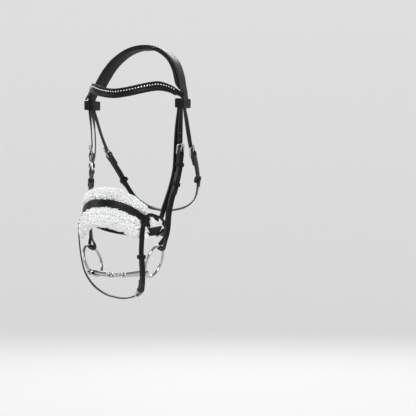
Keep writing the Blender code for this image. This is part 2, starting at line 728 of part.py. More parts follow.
def make_noseband():
    half = NOSE.length / 2.0
    end = half - 1.0

    def strap_width(ring, last):
        from_end = min(ring, last - ring)
        return NOSE_WIDTH * min(1.0, 0.12 + 0.22 * from_end, 0.72 + 0.045 * from_end)

    lengths = spaced(half - end, half + end, 7.5)
    profile = [(s, 6.0 + 2.6 * max(0.0, abs(s - half) / half - 0.72) / 0.28) for s in lengths]
    strap("nose_strap", NOSE, profile, strap_width, thick=3.0)
    middle = FLEECE_LINE.length / 2.0
    reach = middle - 22.0
    backing = [(s, 0.0) for s in spaced(middle - reach, middle + reach, 9.0)]
    strap("nose_backing", FLEECE_LINE, backing, NOSE_WIDTH - 1.0, look="padding", thick=3.4)
    upper_end = middle - 16.0
    lower_end = middle - 3.0
    gap = NOSE_WIDTH / 2.0 + 0.8
    roll("upper_fleece", FLEECE_LINE, (middle - upper_end, middle + upper_end),
         (-gap - FLEECE_UPPER, -gap - 8.0), (FLEECE_UPPER, 8.0), (FLEECE_DEPTH, FLEECE_END_DEPTH))
    roll("lower_fleece", FLEECE_LINE, (middle - lower_end, middle + lower_end),
         (gap + FLEECE_LOWER, gap + FLEECE_LOWER), (FLEECE_LOWER, FLEECE_LOWER),
         (FLEECE_DEPTH, FLEECE_END_DEPTH))


def make_side_straps(side):
    def width(ring, last):
        return 8.0 + 5.0 * ring / last
    strap(side_name(side) + "_side_strap", SIDE, run(1.5, SIDE.length - 1.0, 0.8, 5.0), width, side, thick=2.6)


def make_jaw():
    bar = 84.0
    left = strap("left_jaw_strap", JAW, buckle_strap_profile(bar, 5.0), STRAP_WIDTH)
    right = strap("right_jaw_strap", JAW, billet_profile(bar, JAW.length - 5.0, bar - 48.0),
                  pointed(STRAP_WIDTH - 0.5))
    cut_for_tongue("jaw", JAW, bar, -1.0, left, right)
    buckle("jaw_buckle", JAW, bar, -1.0, STRAP_WIDTH)
    tongue("jaw_tongue", JAW, bar, -1.0)
    band("jaw_keeper", JAW, bar - 22.0, STRAP_WIDTH / 2.0 + CLEAR, KEEPER_HEIGHTS)
    middle = JAW.length / 2.0
    strap("jaw_pad", JAW, [(s, -8.3) for s in spaced(middle - 62.0, middle + 62.0, 9.0)],
          lambda ring, last: 24.0 * (0.6 if ring in (0, last) else 1.0), look="padding", thick=5.0)


def make_flash():
    for side in (1, -1):
        s = NOSE.length - 27.0
        band(side_name(side) + "_flash_loop", NOSE, s, NOSE_WIDTH / 2.0 + 0.5, (3.9, 9.0), side,
             length=10.0, thick=1.5)
    bar = 152.0
    left = strap("left_flash_strap", FLASH, buckle_strap_profile(bar, 1.0, 7.5), FLASH_WIDTH)
    right = strap("right_flash_strap", FLASH,
                  billet_profile(bar, FLASH.length - 1.0, bar - 92.0, 7.5),
                  pointed(FLASH_WIDTH - 0.5))
    cut_for_tongue("flash", FLASH, bar, -1.0, left, right)
    buckle("flash_buckle", FLASH, bar, -1.0, FLASH_WIDTH)
    tongue("flash_tongue", FLASH, bar, -1.0)
    band("flash_keeper", FLASH, 68.0, FLASH_WIDTH / 2.0 + CLEAR, KEEPER_HEIGHTS)


# The bit

def make_ring(side):
    centre = Vector((RING_CENTRE.x * side, RING_CENTRE.y, RING_CENTRE.z)) * MM
    normal = Vector((RING_NORMAL.x * side, RING_NORMAL.y, RING_NORMAL.z))
    turned = normal.to_track_quat("Z", "Y").to_euler()
    bpy.ops.mesh.primitive_torus_add(location=centre, rotation=turned, major_segments=40,
                                     minor_segments=8, major_radius=RING_RADIUS * MM,
                                     minor_radius=RING_WIRE * MM)
    item = bpy.context.object
    adopt(item, side_name(side) + "_bit_ring")


def adopt(item, name, look="steel"):
    item.name = name
    item.data.name = name
    for group in list(item.users_collection):
        group.objects.unlink(item)
    PARTS.objects.link(item)
    item.data.materials.clear()
    item.data.materials.append(MATERIALS[look])


TANGENT = ring_point(BOSS_ON_RING_DEG + 5.0) - ring_point(BOSS_ON_RING_DEG - 5.0)
HINGE = Vector((0.0, TANGENT.y, TANGENT.z)).normalized()
LATERAL = Vector((1.0, 0.0, 0.0))
DROOP = HINGE.cross(LATERAL).normalized()
if DROOP.z > 0:
    DROOP = -DROOP
INWARD = (-LATERAL * math.cos(math.radians(DROOP_DEG))
          + DROOP * math.sin(math.radians(DROOP_DEG)))
CANNON_LENGTH = (BOSS.x - LINK_HALF) / math.cos(math.radians(DROOP_DEG))
LINK_JOINT = BOSS + INWARD * CANNON_LENGTH


def axes_matrix(x_axis, y_axis, z_axis, origin):
    matrix = Matrix((x_axis, y_axis, z_axis)).transposed().to_4x4()
    matrix.translation = origin
    return matrix


def make_cannon(side):
    """Boss with the ring's bore, a waisted bar, and an eye in the plane of the fold."""
    name = side_name(side) + "_cannon"
    eye_centre = CANNON_LENGTH - EYE_RADIUS / 2.0
    bar_end = eye_centre - EYE_RADIUS + 0.8
    rows = 7
    profile = [(0.0, 4.5)]
    for i in range(1, rows):
        share = i / (rows - 1)
        swell = (CANNON_END_RADIUS - CANNON_WAIST_RADIUS) * (1.0 - share) ** 1.6
        profile.append((4.5 + swell + 0.5, 4.5 + (bar_end - 4.5 - 3.0) * share))
    profile.append((2.6, bar_end))
    profile.append((0.0, bar_end))
    bm = bmesh.new()
    verts = [bm.verts.new((r, 0.0, z)) for r, z in profile]
    for a, b in zip(verts, verts[1:]):
        bm.edges.new((a, b))
    mesh = bpy.data.meshes.new(name)
    bm.to_mesh(mesh)
    bm.free()
    item = add_object(name, mesh, "steel")
    screw = item.modifiers.new("turn", "SCREW")
    screw.steps = 14
    screw.render_steps = 14
    screw.use_merge_vertices = True
    screw.merge_threshold = 0.00001
    screw.use_normal_calculate = True
    item.data.transform(Matrix.Scale(MM, 4))

    boss = tool_sphere(name + "_boss", BOSS_RADIUS, Vector((0.0, 0.0, 0.0)))
    eye = tool_torus(name + "_eye", EYE_RADIUS, EYE_WIRE, Vector((0.0, 0.0, eye_centre)),
                     tip_over=True)
    bore = tool_rod(name + "_bore", BOSS_BORE, 30.0)
    for tool in (boss, eye):
        join = item.modifiers.new("join_" + tool.name, "BOOLEAN")
        join.operation = "UNION"
        join.solver = "EXACT"
        join.object = tool
    cut(item, bore)
    # Local Z runs from the boss to the link, local Y is the fold's hinge.
    inward = Vector((INWARD.x * side, INWARD.y, INWARD.z))
    origin = Vector((BOSS.x * side, BOSS.y, BOSS.z))
    x_axis = HINGE.cross(inward).normalized()
    place_with_tools(item, (boss, eye, bore), axes_matrix(x_axis, HINGE, inward, origin * MM))


def place_with_tools(item, tools, matrix):
    item.matrix_world = matrix
    for tool in tools:
        tool.matrix_world = matrix @ tool.matrix_world


def as_tool(item, name):
    item.name = name
    item.hide_render = True
    item.display_type = "WIRE"
    for group in list(item.users_collection):
        group.objects.unlink(item)
    CUTTERS.objects.link(item)
    return item


def tool_sphere(name, radius, centre):
    bpy.ops.mesh.primitive_uv_sphere_add(segments=16, ring_count=10, radius=radius * MM,
                                         location=centre * MM)
    item = as_tool(bpy.context.object, name)
    bpy.context.view_layer.update()
    return item


def tool_torus(name, major, minor, centre, tip_over=False):
    """A ring whose axis is local Y when tipped over, else local Z."""
    turn_x = math.radians(90.0) if tip_over else 0.0
    bpy.ops.mesh.primitive_torus_add(location=centre * MM, rotation=(turn_x, 0.0, 0.0),
                                     major_segments=16, minor_segments=6,
                                     major_radius=major * MM, minor_radius=minor * MM)
    item = as_tool(bpy.context.object, name)
    bpy.context.view_layer.update()
    return item


def tool_rod(name, radius, length):
    """A rod along local Y."""
    bpy.ops.mesh.primitive_cylinder_add(vertices=16, radius=radius * MM, depth=length * MM,
                                        rotation=(math.radians(90.0), 0.0, 0.0))
    item = as_tool(bpy.context.object, name)
    bpy.context.view_layer.update()
    return item


def make_link():
    """Centre link: a lozenge with an eye at each end, square to the cannons' eyes."""
    middle = Vector((0.0, LINK_JOINT.y, LINK_JOINT.z))
    name = "centre_link"
    bpy.ops.mesh.primitive_uv_sphere_add(segments=14, ring_count=8, radius=1.0)
    item = bpy.context.object
    adopt(item, name)
    body_half = LINK_HALF - 1.5 * EYE_RADIUS
    for vertex in item.data.vertices:
        place = (vertex.co.x * (body_half + 1.2), vertex.co.y * 5.2, vertex.co.z * 4.0)
        vertex.co = Vector(place) * MM
    tools = []
    for way in (1.0, -1.0):
        centre = Vector((way * (LINK_HALF - EYE_RADIUS / 2.0), 0.0, 0.0))
        eye = tool_torus(name + "_eye", EYE_RADIUS, EYE_WIRE, centre)
        join = item.modifiers.new("join_eye", "BOOLEAN")
        join.operation = "UNION"
        join.solver = "EXACT"
        join.object = eye
        tools.append(eye)
    place_with_tools(item, tools, axes_matrix(LATERAL, HINGE, LATERAL.cross(HINGE), middle * MM))


make_headpiece()
make_browband()
make_throat()
make_hangers()
make_noseband()
make_jaw()
make_flash()
make_link()
for each_side in (1, -1):
    make_browband_loop(each_side)
    make_cheek(each_side)
    make_side_straps(each_side)
    make_ring(each_side)
    make_cannon(each_side)
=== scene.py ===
"""Snaffle bridle with a sheepskin noseband, flash strap and jewelled browband.

Row frame: metres, +Z up, the horse faces -Y and its left side is +X. Lengths in this
file are in millimetres until a point is placed.
"""

import json
import math
import random

import bmesh
import bpy
from mathutils import Matrix, Vector, noise


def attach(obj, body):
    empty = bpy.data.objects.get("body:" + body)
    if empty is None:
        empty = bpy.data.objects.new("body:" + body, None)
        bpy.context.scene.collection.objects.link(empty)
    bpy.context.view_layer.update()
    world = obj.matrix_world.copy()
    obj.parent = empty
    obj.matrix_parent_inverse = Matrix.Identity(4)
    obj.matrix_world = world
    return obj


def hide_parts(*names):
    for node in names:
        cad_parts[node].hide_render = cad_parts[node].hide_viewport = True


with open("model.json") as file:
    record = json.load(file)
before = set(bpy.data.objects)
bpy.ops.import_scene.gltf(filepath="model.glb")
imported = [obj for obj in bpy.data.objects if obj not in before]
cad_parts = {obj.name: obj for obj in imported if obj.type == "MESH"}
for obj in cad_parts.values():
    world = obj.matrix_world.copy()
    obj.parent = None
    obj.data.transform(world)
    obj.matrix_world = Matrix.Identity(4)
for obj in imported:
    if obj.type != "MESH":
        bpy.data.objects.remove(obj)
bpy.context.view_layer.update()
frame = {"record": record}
BODIES = frame["record"]["behaviour"]["bodies"]
BODY_OF = {node: body for body, nodes in BODIES.items() for node in nodes}

MM = 0.001

# Dimensions shared with the CAD part
STRAP_WIDTH = 13.0
FLASH_WIDTH = 12.0
LEATHER = 2.6
PLY_GAP = 0.5
CLEAR = 0.5
WIRE = 1.5
TONGUE_WIRE = 1.0
BUCKLE_LENGTH = 20.0
CORNER = 4.0
HEEL_CORNER = 1.8
KEEPER_BAND = 8.0
KEEPER_THICK = 1.7
HEADPIECE_WIDTH = 36.0
HEADPIECE_END_WIDTH = 28.0
PADDING_THICK = 7.0
SEAT_HALF = 9.0
BROWBAND_WIDTH = 21.0
BROWBAND_LINING = 3.6
CRYSTAL_ROW = 3.4
NOSE_WIDTH = 18.0
FLEECE_UPPER = 12.5
FLEECE_LOWER = 20.0
FLEECE_DEPTH = 12.5
FLEECE_END_DEPTH = 6.0
RING_RADIUS = 35.0
RING_WIRE = 3.0
BOSS_RADIUS = 7.2
BOSS_BORE = 4.9
CANNON_END_RADIUS = 6.6
CANNON_WAIST_RADIUS = 5.0
DROOP_DEG = 8.0
EYE_RADIUS = 5.2
EYE_WIRE = 2.0
LINK_HALF = 14.0
RING_CENTRE = Vector((75.0, -106.0, -462.0))
RING_TILT_DEG = 18.0
CHEEK_ON_RING_DEG = 66.0
BOSS_ON_RING_DEG = 226.0

OUT = Vector((1.0, 0.0, 0.0))


def ring_point(angle_deg):
    """A point on the centre line of the left ring."""
    tilt = math.radians(RING_TILT_DEG)
    angle = math.radians(angle_deg)
    forward = Vector((0.0, 1.0, 0.0))
    upward = Vector((math.sin(tilt), 0.0, math.cos(tilt)))
    return RING_CENTRE + RING_RADIUS * (math.cos(angle) * forward + math.sin(angle) * upward)


RING_NORMAL = Vector((math.cos(math.radians(RING_TILT_DEG)), 0.0,
                      -math.sin(math.radians(RING_TILT_DEG))))
CHEEK_END = ring_point(CHEEK_ON_RING_DEG)
BOSS = ring_point(BOSS_ON_RING_DEG)


class Route:
    """A smooth line through given points, with the direction that faces away from the head."""

    STEPS = 24

    def __init__(self, stations):
        points = [Vector(p) for p, _ in stations]
        hints = [Vector(h) for _, h in stations]
        padded = extended(points)
        self.points = []
        self.hints = []
        for i in range(len(points) - 1):
            for k in range(self.STEPS):
                t = k / self.STEPS
                self.points.append(catmull_rom(padded[i:i + 4], t))
                self.hints.append(hints[i].lerp(hints[i + 1], t))
        self.points.append(points[-1])
        self.hints.append(hints[-1])
        self.marks = measured(self.points)
        self.length = self.marks[-1]

    def frame(self, s):
        """Point, direction along, direction across and direction outward at length s."""
        i, t = find_span(self.marks, s)
        point = self.points[i] + (self.points[i + 1] - self.points[i]) * t
        t = min(1.0, max(0.0, t))
        along = heading_at(self.points, i, t)
        hint = self.hints[i].lerp(self.hints[i + 1], t)
        outward = (hint - along * hint.dot(along)).normalized()
        return point, along, along.cross(outward), outward

    def place(self, s, across, height, side=1):
        """The point at length s, moved across and outward, mirrored when side is -1."""
        point, _, sideways, outward = self.frame(s)
        spot = point + sideways * across + outward * height
        return Vector((spot.x * side, spot.y, spot.z)) * MM

    def station_at(self, target):
        """Length along the route of the sample nearest to a point."""
        target = Vector(target)
        best = min(range(len(self.points)), key=lambda i: (self.points[i] - target).length)
        return self.marks[best]


def extended(points):
    """The points with one more at each end, in line with the last two."""
    return [points[0] * 2.0 - points[1]] + points + [points[-1] * 2.0 - points[-2]]


def measured(points):
    """Length along a line of points up to each of them."""
    marks = [0.0]
    for a, b in zip(points, points[1:]):
        marks.append(marks[-1] + (b - a).length)
    return marks


def heading_at(points, i, t):
    """Smoothed direction of a line of points, a share t of the way through span i."""
    behind = points[i + 1] - points[max(i - 1, 0)]
    ahead = points[min(i + 2, len(points) - 1)] - points[i]
    return behind.normalized().lerp(ahead.normalized(), t).normalized()


def find_span(marks, s):
    """Index of the span of marks that holds s, and the share of the way through it."""
    low, high = 0, len(marks) - 2
    while low < high:
        middle = (low + high) // 2
        if marks[middle + 1] < s:
            low = middle + 1
        else:
            high = middle
    return low, (s - marks[low]) / (marks[low + 1] - marks[low])


def circle(count, turn_by=0.0):
    """Cosine and sine of evenly spaced angles round a circle."""
    angles = [math.tau * (k + turn_by) / count for k in range(count)]
    return [(math.cos(a), math.sin(a)) for a in angles]


def catmull_rom(p, t):
    return 0.5 * (2.0 * p[1] + (p[2] - p[0]) * t
                  + (2.0 * p[0] - 5.0 * p[1] + 4.0 * p[2] - p[3]) * t * t
                  + (3.0 * p[1] - p[0] - 3.0 * p[2] + p[3]) * t * t * t)


def mirrored_stations(half):
    """A route from the right side to the left, from the stations of its left half."""
    right = [((-p[0], p[1], p[2]), (-h[0], h[1], h[2])) for p, h in reversed(half) if p[0] > 0.0]
    return right + list(half)


# Routes. Each station is a point and the outward direction there.
CROWN = Route(mirrored_stations([
    ((0.0, 0.0, 0.0), (0.0, 0.0, 1.0)),
    ((36.0, -2.5, -7.0), (0.35, 0.0, 0.94)),
    ((66.0, -10.0, -28.0), (0.75, 0.0, 0.66)),
    ((84.0, -20.0, -54.0), (0.92, 0.0, 0.38)),
    ((96.0, -31.0, -82.0), (0.96, 0.0, 0.28)),
    ((105.5, -39.5, -106.0), (0.98, 0.0, 0.2)),
    ((109.5, -43.0, -124.0), (0.99, 0.0, 0.1)),
    ((110.5, -43.5, -136.0), (1.0, 0.0, 0.0)),
]))
LOOP_LINE = Route([((109.8, -43.5, -105.0), OUT), ((109.8, -43.5, -139.0), OUT)])
BROW = Route(mirrored_stations([
    ((0.0, -140.0, -105.0), (0.0, -1.0, 0.25)),
    ((28.0, -134.5, -101.5), (0.25, -0.95, 0.25)),
    ((50.0, -122.0, -95.5), (0.5, -0.85, 0.24)),
    ((66.0, -106.0, -90.5), (0.68, -0.72, 0.22)),
    ((78.0, -91.0, -88.5), (0.8, -0.6, 0.2)),
    ((93.0, -72.0, -93.5), (0.88, -0.46, 0.15)),
    ((106.0, -57.0, -105.0), (0.94, -0.3, 0.1)),
    ((116.5, -47.5, -120.0), (0.98, -0.15, 0.0)),
]))
FACING = Vector((0.88, -0.47, 0.0))          # the straps on the cheeks face a little forward
CHEEK = Route([
    ((112.5, -53.5, -118.0), OUT),
    ((112.0, -53.0, -140.0), (0.98, -0.15, 0.0)),
    ((109.5, -51.0, -180.0), FACING),
    ((108.0, -50.0, -229.0), FACING),
    ((106.5, -52.0, -262.0), FACING),
    ((103.0, -62.5, -300.0), FACING),
    ((98.5, -73.5, -335.0), FACING),
    ((95.8, -79.0, -362.0), FACING),
    ((94.5, -81.0, -388.0), FACING),
    ((92.0, -84.5, -410.0), (0.93, -0.25, -0.1)),
    (CHEEK_END, (0.95, -0.08, -0.25)),
    (CHEEK_END + Vector((-4.0, -5.0, -18.0)), (0.95, -0.08, -0.25)),
])
THROAT_HALF = [
    ((112.5, -38.0, -120.0), OUT),
    ((112.2, -35.0, -136.0), OUT),
    ((110.5, -24.0, -156.0), (0.98, -0.15, 0.0)),
    ((108.0, -8.0, -188.0), (0.96, -0.26, 0.0)),
    ((104.5, 12.0, -220.0), (0.98, -0.18, 0.0)),
    ((100.0, 36.0, -246.0), (0.99, 0.0, 0.0)),
    ((94.0, 58.0, -272.0), (0.97, 0.2, -0.05)),
    ((87.0, 76.0, -300.0), (0.9, 0.3, -0.25)),
    ((73.0, 90.0, -326.0), (0.7, 0.4, -0.6)),
    ((50.0, 99.0, -342.0), (0.4, 0.35, -0.85)),
    ((25.0, 103.0, -349.0), (0.15, 0.3, -0.95)),
    ((0.0, 104.0, -351.0), (0.0, 0.3, -0.95)),
]
THROAT = Route(THROAT_HALF)
WHOLE_THROAT = Route(mirrored_stations(THROAT_HALF[::-1])[::-1])
HANGER = Route([                             # under the cheekpiece, then forward
    ((107.2, -53.5, -118.0), OUT),
    ((105.0, -53.0, -140.0), OUT),
    ((101.3, -50.5, -175.0), FACING),
    ((98.2, -48.3, -203.0), FACING),
    ((96.5, -47.6, -232.0), FACING),
    ((95.0, -50.0, -266.0), FACING),
    ((91.6, -60.0, -300.0), FACING),
    ((87.9, -71.2, -327.0), FACING),
    ((86.0, -81.5, -346.0), FACING),
    ((85.8, -91.5, -361.0), (0.93, -0.3, 0.0)),
    ((86.5, -101.0, -374.0), (0.97, -0.2, 0.0)),
])
BUCKLED_HANGER = Route([                     # in front of the cheekpiece, clear of its buckle
    ((107.2, -53.5, -118.0), OUT),
    ((105.0, -53.0, -140.0), OUT),
    ((101.0, -51.5, -175.0), FACING),
    ((99.0, -52.0, -203.0), FACING),
    ((97.0, -56.5, -226.0), FACING),
    ((96.0, -65.5, -246.0), FACING),
    ((95.7, -71.0, -268.0), FACING),
    ((93.6, -78.5, -298.0), FACING),
    ((91.2, -85.5, -327.0), FACING),
    ((88.5, -94.0, -354.0), (0.93, -0.3, 0.0)),
    ((86.5, -101.0, -374.0), (0.97, -0.2, 0.0)),
])
NOSE = Route(mirrored_stations([
    ((0.0, -197.0, -339.0), (0.0, -1.0, 0.25)),
    ((28.0, -191.5, -342.0), (0.3, -0.95, 0.25)),
    ((50.0, -175.0, -352.0), (0.62, -0.78, 0.22)),
    ((63.0, -159.0, -363.0), (0.82, -0.57, 0.18)),
    ((71.5, -145.0, -376.0), (0.92, -0.38, 0.1)),
    ((74.0, -137.0, -399.0), (0.93, -0.35, 0.05)),
]))
FLEECE_LINE = Route(mirrored_stations([
    ((0.0, -197.0, -339.0), (0.0, -1.0, 0.25)),
    ((28.0, -191.5, -342.0), (0.3, -0.95, 0.25)),
    ((50.0, -175.0, -352.0), (0.62, -0.78, 0.22)),
    ((63.0, -159.0, -362.0), (0.82, -0.57, 0.18)),
    ((72.0, -143.5, -371.0), (0.92, -0.38, 0.1)),
    ((79.0, -127.0, -377.0), (0.95, -0.3, 0.05)),
]))
SIDE = Route([
    ((75.3, -138.5, -361.5), (0.92, -0.38, 0.1)),
    ((78.3, -131.0, -363.0), (0.94, -0.34, 0.05)),
    ((82.0, -121.0, -366.0), (0.96, -0.26, 0.0)),
    ((86.5, -107.0, -371.5), (0.98, -0.15, 0.0)),
])
JAW = Route(mirrored_stations([
    ((0.0, -10.0, -405.0), (0.0, 0.6, -0.8)),
    ((28.0, -14.0, -404.0), (0.25, 0.6, -0.75)),
    ((55.0, -28.0, -400.0), (0.6, 0.55, -0.6)),
    ((74.5, -50.0, -393.0), (0.85, 0.35, -0.35)),
    ((84.0, -76.0, -384.0), (0.97, 0.15, -0.1)),
    ((87.5, -96.0, -376.0), (0.98, 0.0, 0.0)),
])[::-1])
FLASH = Route(mirrored_stations([
    ((0.0, -104.5, -542.0), (0.0, 0.05, -1.0)),
    ((18.0, -106.0, -540.0), (0.12, 0.05, -0.99)),
    ((38.5, -115.0, -533.0), (0.35, 0.0, -0.93)),
    ((57.0, -132.0, -515.0), (0.7, -0.15, -0.7)),
    ((68.0, -149.5, -488.0), (0.85, -0.4, -0.3)),
    ((71.5, -158.5, -462.0), (0.88, -0.47, -0.05)),
    ((73.5, -163.0, -438.0), FACING),
    ((76.0, -164.5, -405.0), FACING),
    ((77.5, -162.5, -383.0), FACING),
])[::-1])
FLASH_TOP = Route([((76.5, -160.8, -372.5), FACING), ((77.5, -162.6, -385.0), FACING)])


# Meshes

class Shape:
    """Points and faces of one piece, in metres, gathered before its mesh is made."""

    def __init__(self):
        self.points = []
        self.faces = []
        self.looks = []

    def face(self, corners, look=0):
        self.faces.append(tuple(corners))
        self.looks.append(look)

    def tube(self, rings, look=0, closed=False, caps=True):
        """Skin over rings of equal size. look is a number or a function of the ring's corner."""
        first = len(self.points)
        size = len(rings[0])
        for ring in rings:
            self.points.extend(ring)
        spans = len(rings) if closed else len(rings) - 1
        for i in range(spans):
            a = first + i * size
            b = first + (i + 1) % len(rings) * size
            for j in range(size):
                k = (j + 1) % size
                self.face((a + j, a + k, b + k, b + j), look(j) if callable(look) else look)
        if caps and not closed:
            end_look = look(0) if callable(look) else look
            last = first + (len(rings) - 1) * size
            self.face([first + j for j in reversed(range(size))], end_look)
            self.face([last + j for j in range(size)], end_look)


STRAP_SHARP_DEG = 38.0
METAL_SHARP_DEG = 32.0


def make_mesh(name, shape, looks, sharp_deg=STRAP_SHARP_DEG):
    mesh = bpy.data.meshes.new(name)
    mesh.from_pydata([tuple(p) for p in shape.points], [], shape.faces)
    for look in looks:
        mesh.materials.append(look)
    mesh.polygons.foreach_set("material_index", shape.looks)
    bm = bmesh.new()
    bm.from_mesh(mesh)
    bmesh.ops.recalc_face_normals(bm, faces=bm.faces)
    bm.to_mesh(mesh)
    bm.free()
    soften(mesh, sharp_deg)
    return mesh


def soften(mesh, sharp_deg):
    """Smooth shading, with edges kept sharp above an angle."""
    mesh.polygons.foreach_set("use_smooth", [True] * len(mesh.polygons))
    mesh.set_sharp_from_angle(angle=math.radians(sharp_deg))


def new_object(name, data):
    item = bpy.data.objects.new(name, data)
    bpy.context.scene.collection.objects.link(item)
    return item


def add_piece(name, shape, node, looks, sharp_deg=STRAP_SHARP_DEG):
    """Make the object. It rides on its CAD node's body and stands for that node."""
    item = new_object(name, make_mesh(name, shape, looks, sharp_deg))
    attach(item, BODY_OF[node])
    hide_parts(node)
    return item


def boolean(item, shape, operation, sharp_deg=STRAP_SHARP_DEG):
    """Cut a closed shape out of a piece, or fuse it on, and keep the result as its mesh."""
    mesh = make_mesh(item.name + "_tool", shape, [])
    tool = new_object(mesh.name, mesh)
    modifier = item.modifiers.new(operation, "BOOLEAN")
    modifier.operation = operation
    modifier.solver = "EXACT"
    modifier.object = tool
    bpy.context.view_layer.update()
    graph = bpy.context.evaluated_depsgraph_get()
    result = bpy.data.meshes.new_from_object(item.evaluated_get(graph))
    item.modifiers.clear()
    item.data = result
    bpy.data.objects.remove(tool)
    soften(item.data, sharp_deg)


# Materials

def node_material(name, colour, roughness, metallic=0.0):
    material = bpy.data.materials.new(name)
    material.use_nodes = True
    shader = material.node_tree.nodes["Principled BSDF"]
    shader.inputs["Base Color"].default_value = (*colour, 1.0)
    shader.inputs["Roughness"].default_value = roughness
    shader.inputs["Metallic"].default_value = metallic
    return material, material.node_tree, shader


def add_node(tree, kind, **values):
    node = tree.nodes.new(kind)
    for key, value in values.items():
        node.inputs[key].default_value = value
    return node


def object_noise(tree, scale, detail=3.0, stretch=(1.0, 1.0, 1.0), distortion=0.0):
    """A noise's factor output over object coordinates."""
    place = add_node(tree, "ShaderNodeTexCoord")
    mapping = add_node(tree, "ShaderNodeMapping", Scale=stretch)
    tree.links.new(place.outputs["Object"], mapping.inputs["Vector"])
    cloud = add_node(tree, "ShaderNodeTexNoise", Scale=scale, Detail=detail, Distortion=distortion)
    tree.links.new(mapping.outputs["Vector"], cloud.inputs["Vector"])
    return cloud.outputs["Fac"]


def object_cells(tree, scale):
    """A Voronoi pattern's distance output over object coordinates."""
    place = add_node(tree, "ShaderNodeTexCoord")
    cells = add_node(tree, "ShaderNodeTexVoronoi", Scale=scale)
    tree.links.new(place.outputs["Object"], cells.inputs["Vector"])
    return cells.outputs["Distance"]


def vary(tree, shader, name, source, stops):
    """Drive a shader input through a colour ramp of (position, grey or colour) stops."""
    node = tree.nodes.new("ShaderNodeValToRGB")
    elements = node.color_ramp.elements
    while len(elements) < len(stops):
        elements.new(0.5)
    for element, (position, value) in zip(elements, stops):
        element.position = position
        element.color = (value, value, value, 1.0) if isinstance(value, float) else (*value, 1.0)
    tree.links.new(source, node.inputs["Fac"])
    tree.links.new(node.outputs["Color"], shader.inputs[name])


def bump(tree, shader, layers):
    """Chain of bumps, each (height source, strength, distance in metres)."""
    normal = None
    for source, strength, distance in layers:
        node = add_node(tree, "ShaderNodeBump", Strength=strength, Distance=distance)
        tree.links.new(source, node.inputs["Height"])
        if normal is not None:
            tree.links.new(normal, node.inputs["Normal"])
        normal = node.outputs["Normal"]
    tree.links.new(normal, shader.inputs["Normal"])


def leather_material(name, dark, light, gloss, grain, coat=0.05):
    material, tree, shader = node_material(name, dark, gloss[0])
    cloud = object_noise(tree, 60.0, 6.0)
    vary(tree, shader, "Base Color", cloud, [(0.3, dark), (0.72, light)])
    patches = object_noise(tree, 210.0, 4.0)
    vary(tree, shader, "Roughness", patches, [(0.25, gloss[0]), (0.75, gloss[1])])
    shader.inputs["Specular IOR Level"].default_value = 0.13
    shader.inputs["Coat Weight"].default_value = coat
    shader.inputs["Coat Roughness"].default_value = 0.22
    shader.inputs["Coat IOR"].default_value = 1.3
    bump(tree, shader, [(object_cells(tree, 1500.0), grain, 0.00012),
                        (object_noise(tree, 3200.0, 2.0), grain * 0.6, 0.00006),
                        (object_noise(tree, 130.0, 4.0, distortion=0.6), 0.25, 0.0006)])
    return material


def edge_material():
    material, tree, shader = node_material("edge_paint", (0.006, 0.006, 0.006), 0.32)
    cloud = object_noise(tree, 700.0, 3.0)
    vary(tree, shader, "Roughness", cloud, [(0.3, 0.26), (0.8, 0.5)])
    bump(tree, shader, [(cloud, 0.3, 0.0002)])
    return material


def thread_material():
    material, tree, shader = node_material("thread", (0.03, 0.03, 0.032), 0.6)
    twist = object_noise(tree, 2600.0, 2.0, distortion=1.0)
    vary(tree, shader, "Base Color", twist,
         [(0.3, (0.016, 0.016, 0.017)), (0.75, (0.06, 0.06, 0.064))])
    shader.inputs["Sheen Weight"].default_value = 0.35
    bump(tree, shader, [(twist, 0.5, 0.0001)])
    return material


def steel_material():
    material, tree, shader = node_material("polished_steel", (0.56, 0.56, 0.57), 0.1, 1.0)
    wear = object_noise(tree, 90.0, 5.0)
    vary(tree, shader, "Roughness", wear, [(0.3, 0.07), (0.75, 0.2)])
    tint = object_noise(tree, 35.0, 3.0)
    vary(tree, shader, "Base Color", tint, [(0.3, (0.42, 0.42, 0.43)), (0.75, (0.52, 0.515, 0.51))])
    scratches = object_noise(tree, 900.0, 4.0, stretch=(1.0, 1.0, 0.12))
    bump(tree, shader, [(scratches, 0.08, 0.00006)])
    return material


def wool_material():
    material, tree, shader = node_material("wool", (0.97, 0.97, 0.97), 0.95)
    shade = object_noise(tree, 60.0, 4.0)
    vary(tree, shader, "Base Color", shade,
         [(0.28, (0.93, 0.933, 0.94)), (0.62, (0.985, 0.985, 0.985))])
    shader.inputs["Sheen Weight"].default_value = 0.5
    shader.inputs["Sheen Roughness"].default_value = 0.5
    shader.inputs["Specular IOR Level"].default_value = 0.2
    shader.inputs["Subsurface Weight"].default_value = 0.6
    shader.inputs["Subsurface Radius"].default_value = (1.0, 0.95, 0.9)
    shader.inputs["Subsurface Scale"].default_value = 0.004
    fibre = object_noise(tree, 2400.0, 3.0, stretch=(1.0, 1.0, 0.35), distortion=1.5)
    bump(tree, shader, [(fibre, 0.5, 0.0003)])
    return material


def stone_material():
    material, tree, shader = node_material("crystal_stone", (0.95, 0.93, 0.95), 0.05, 0.2)
    glint = object_noise(tree, 420.0, 1.0)
    vary(tree, shader, "Base Color", glint, [(0.35, (0.9, 0.87, 0.92)), (0.65, (1.0, 0.99, 1.0))])
    shader.inputs["Coat Weight"].default_value = 1.0
    shader.inputs["Coat Roughness"].default_value = 0.02
    bump(tree, shader, [(glint, 0.02, 0.0001)])
    return material


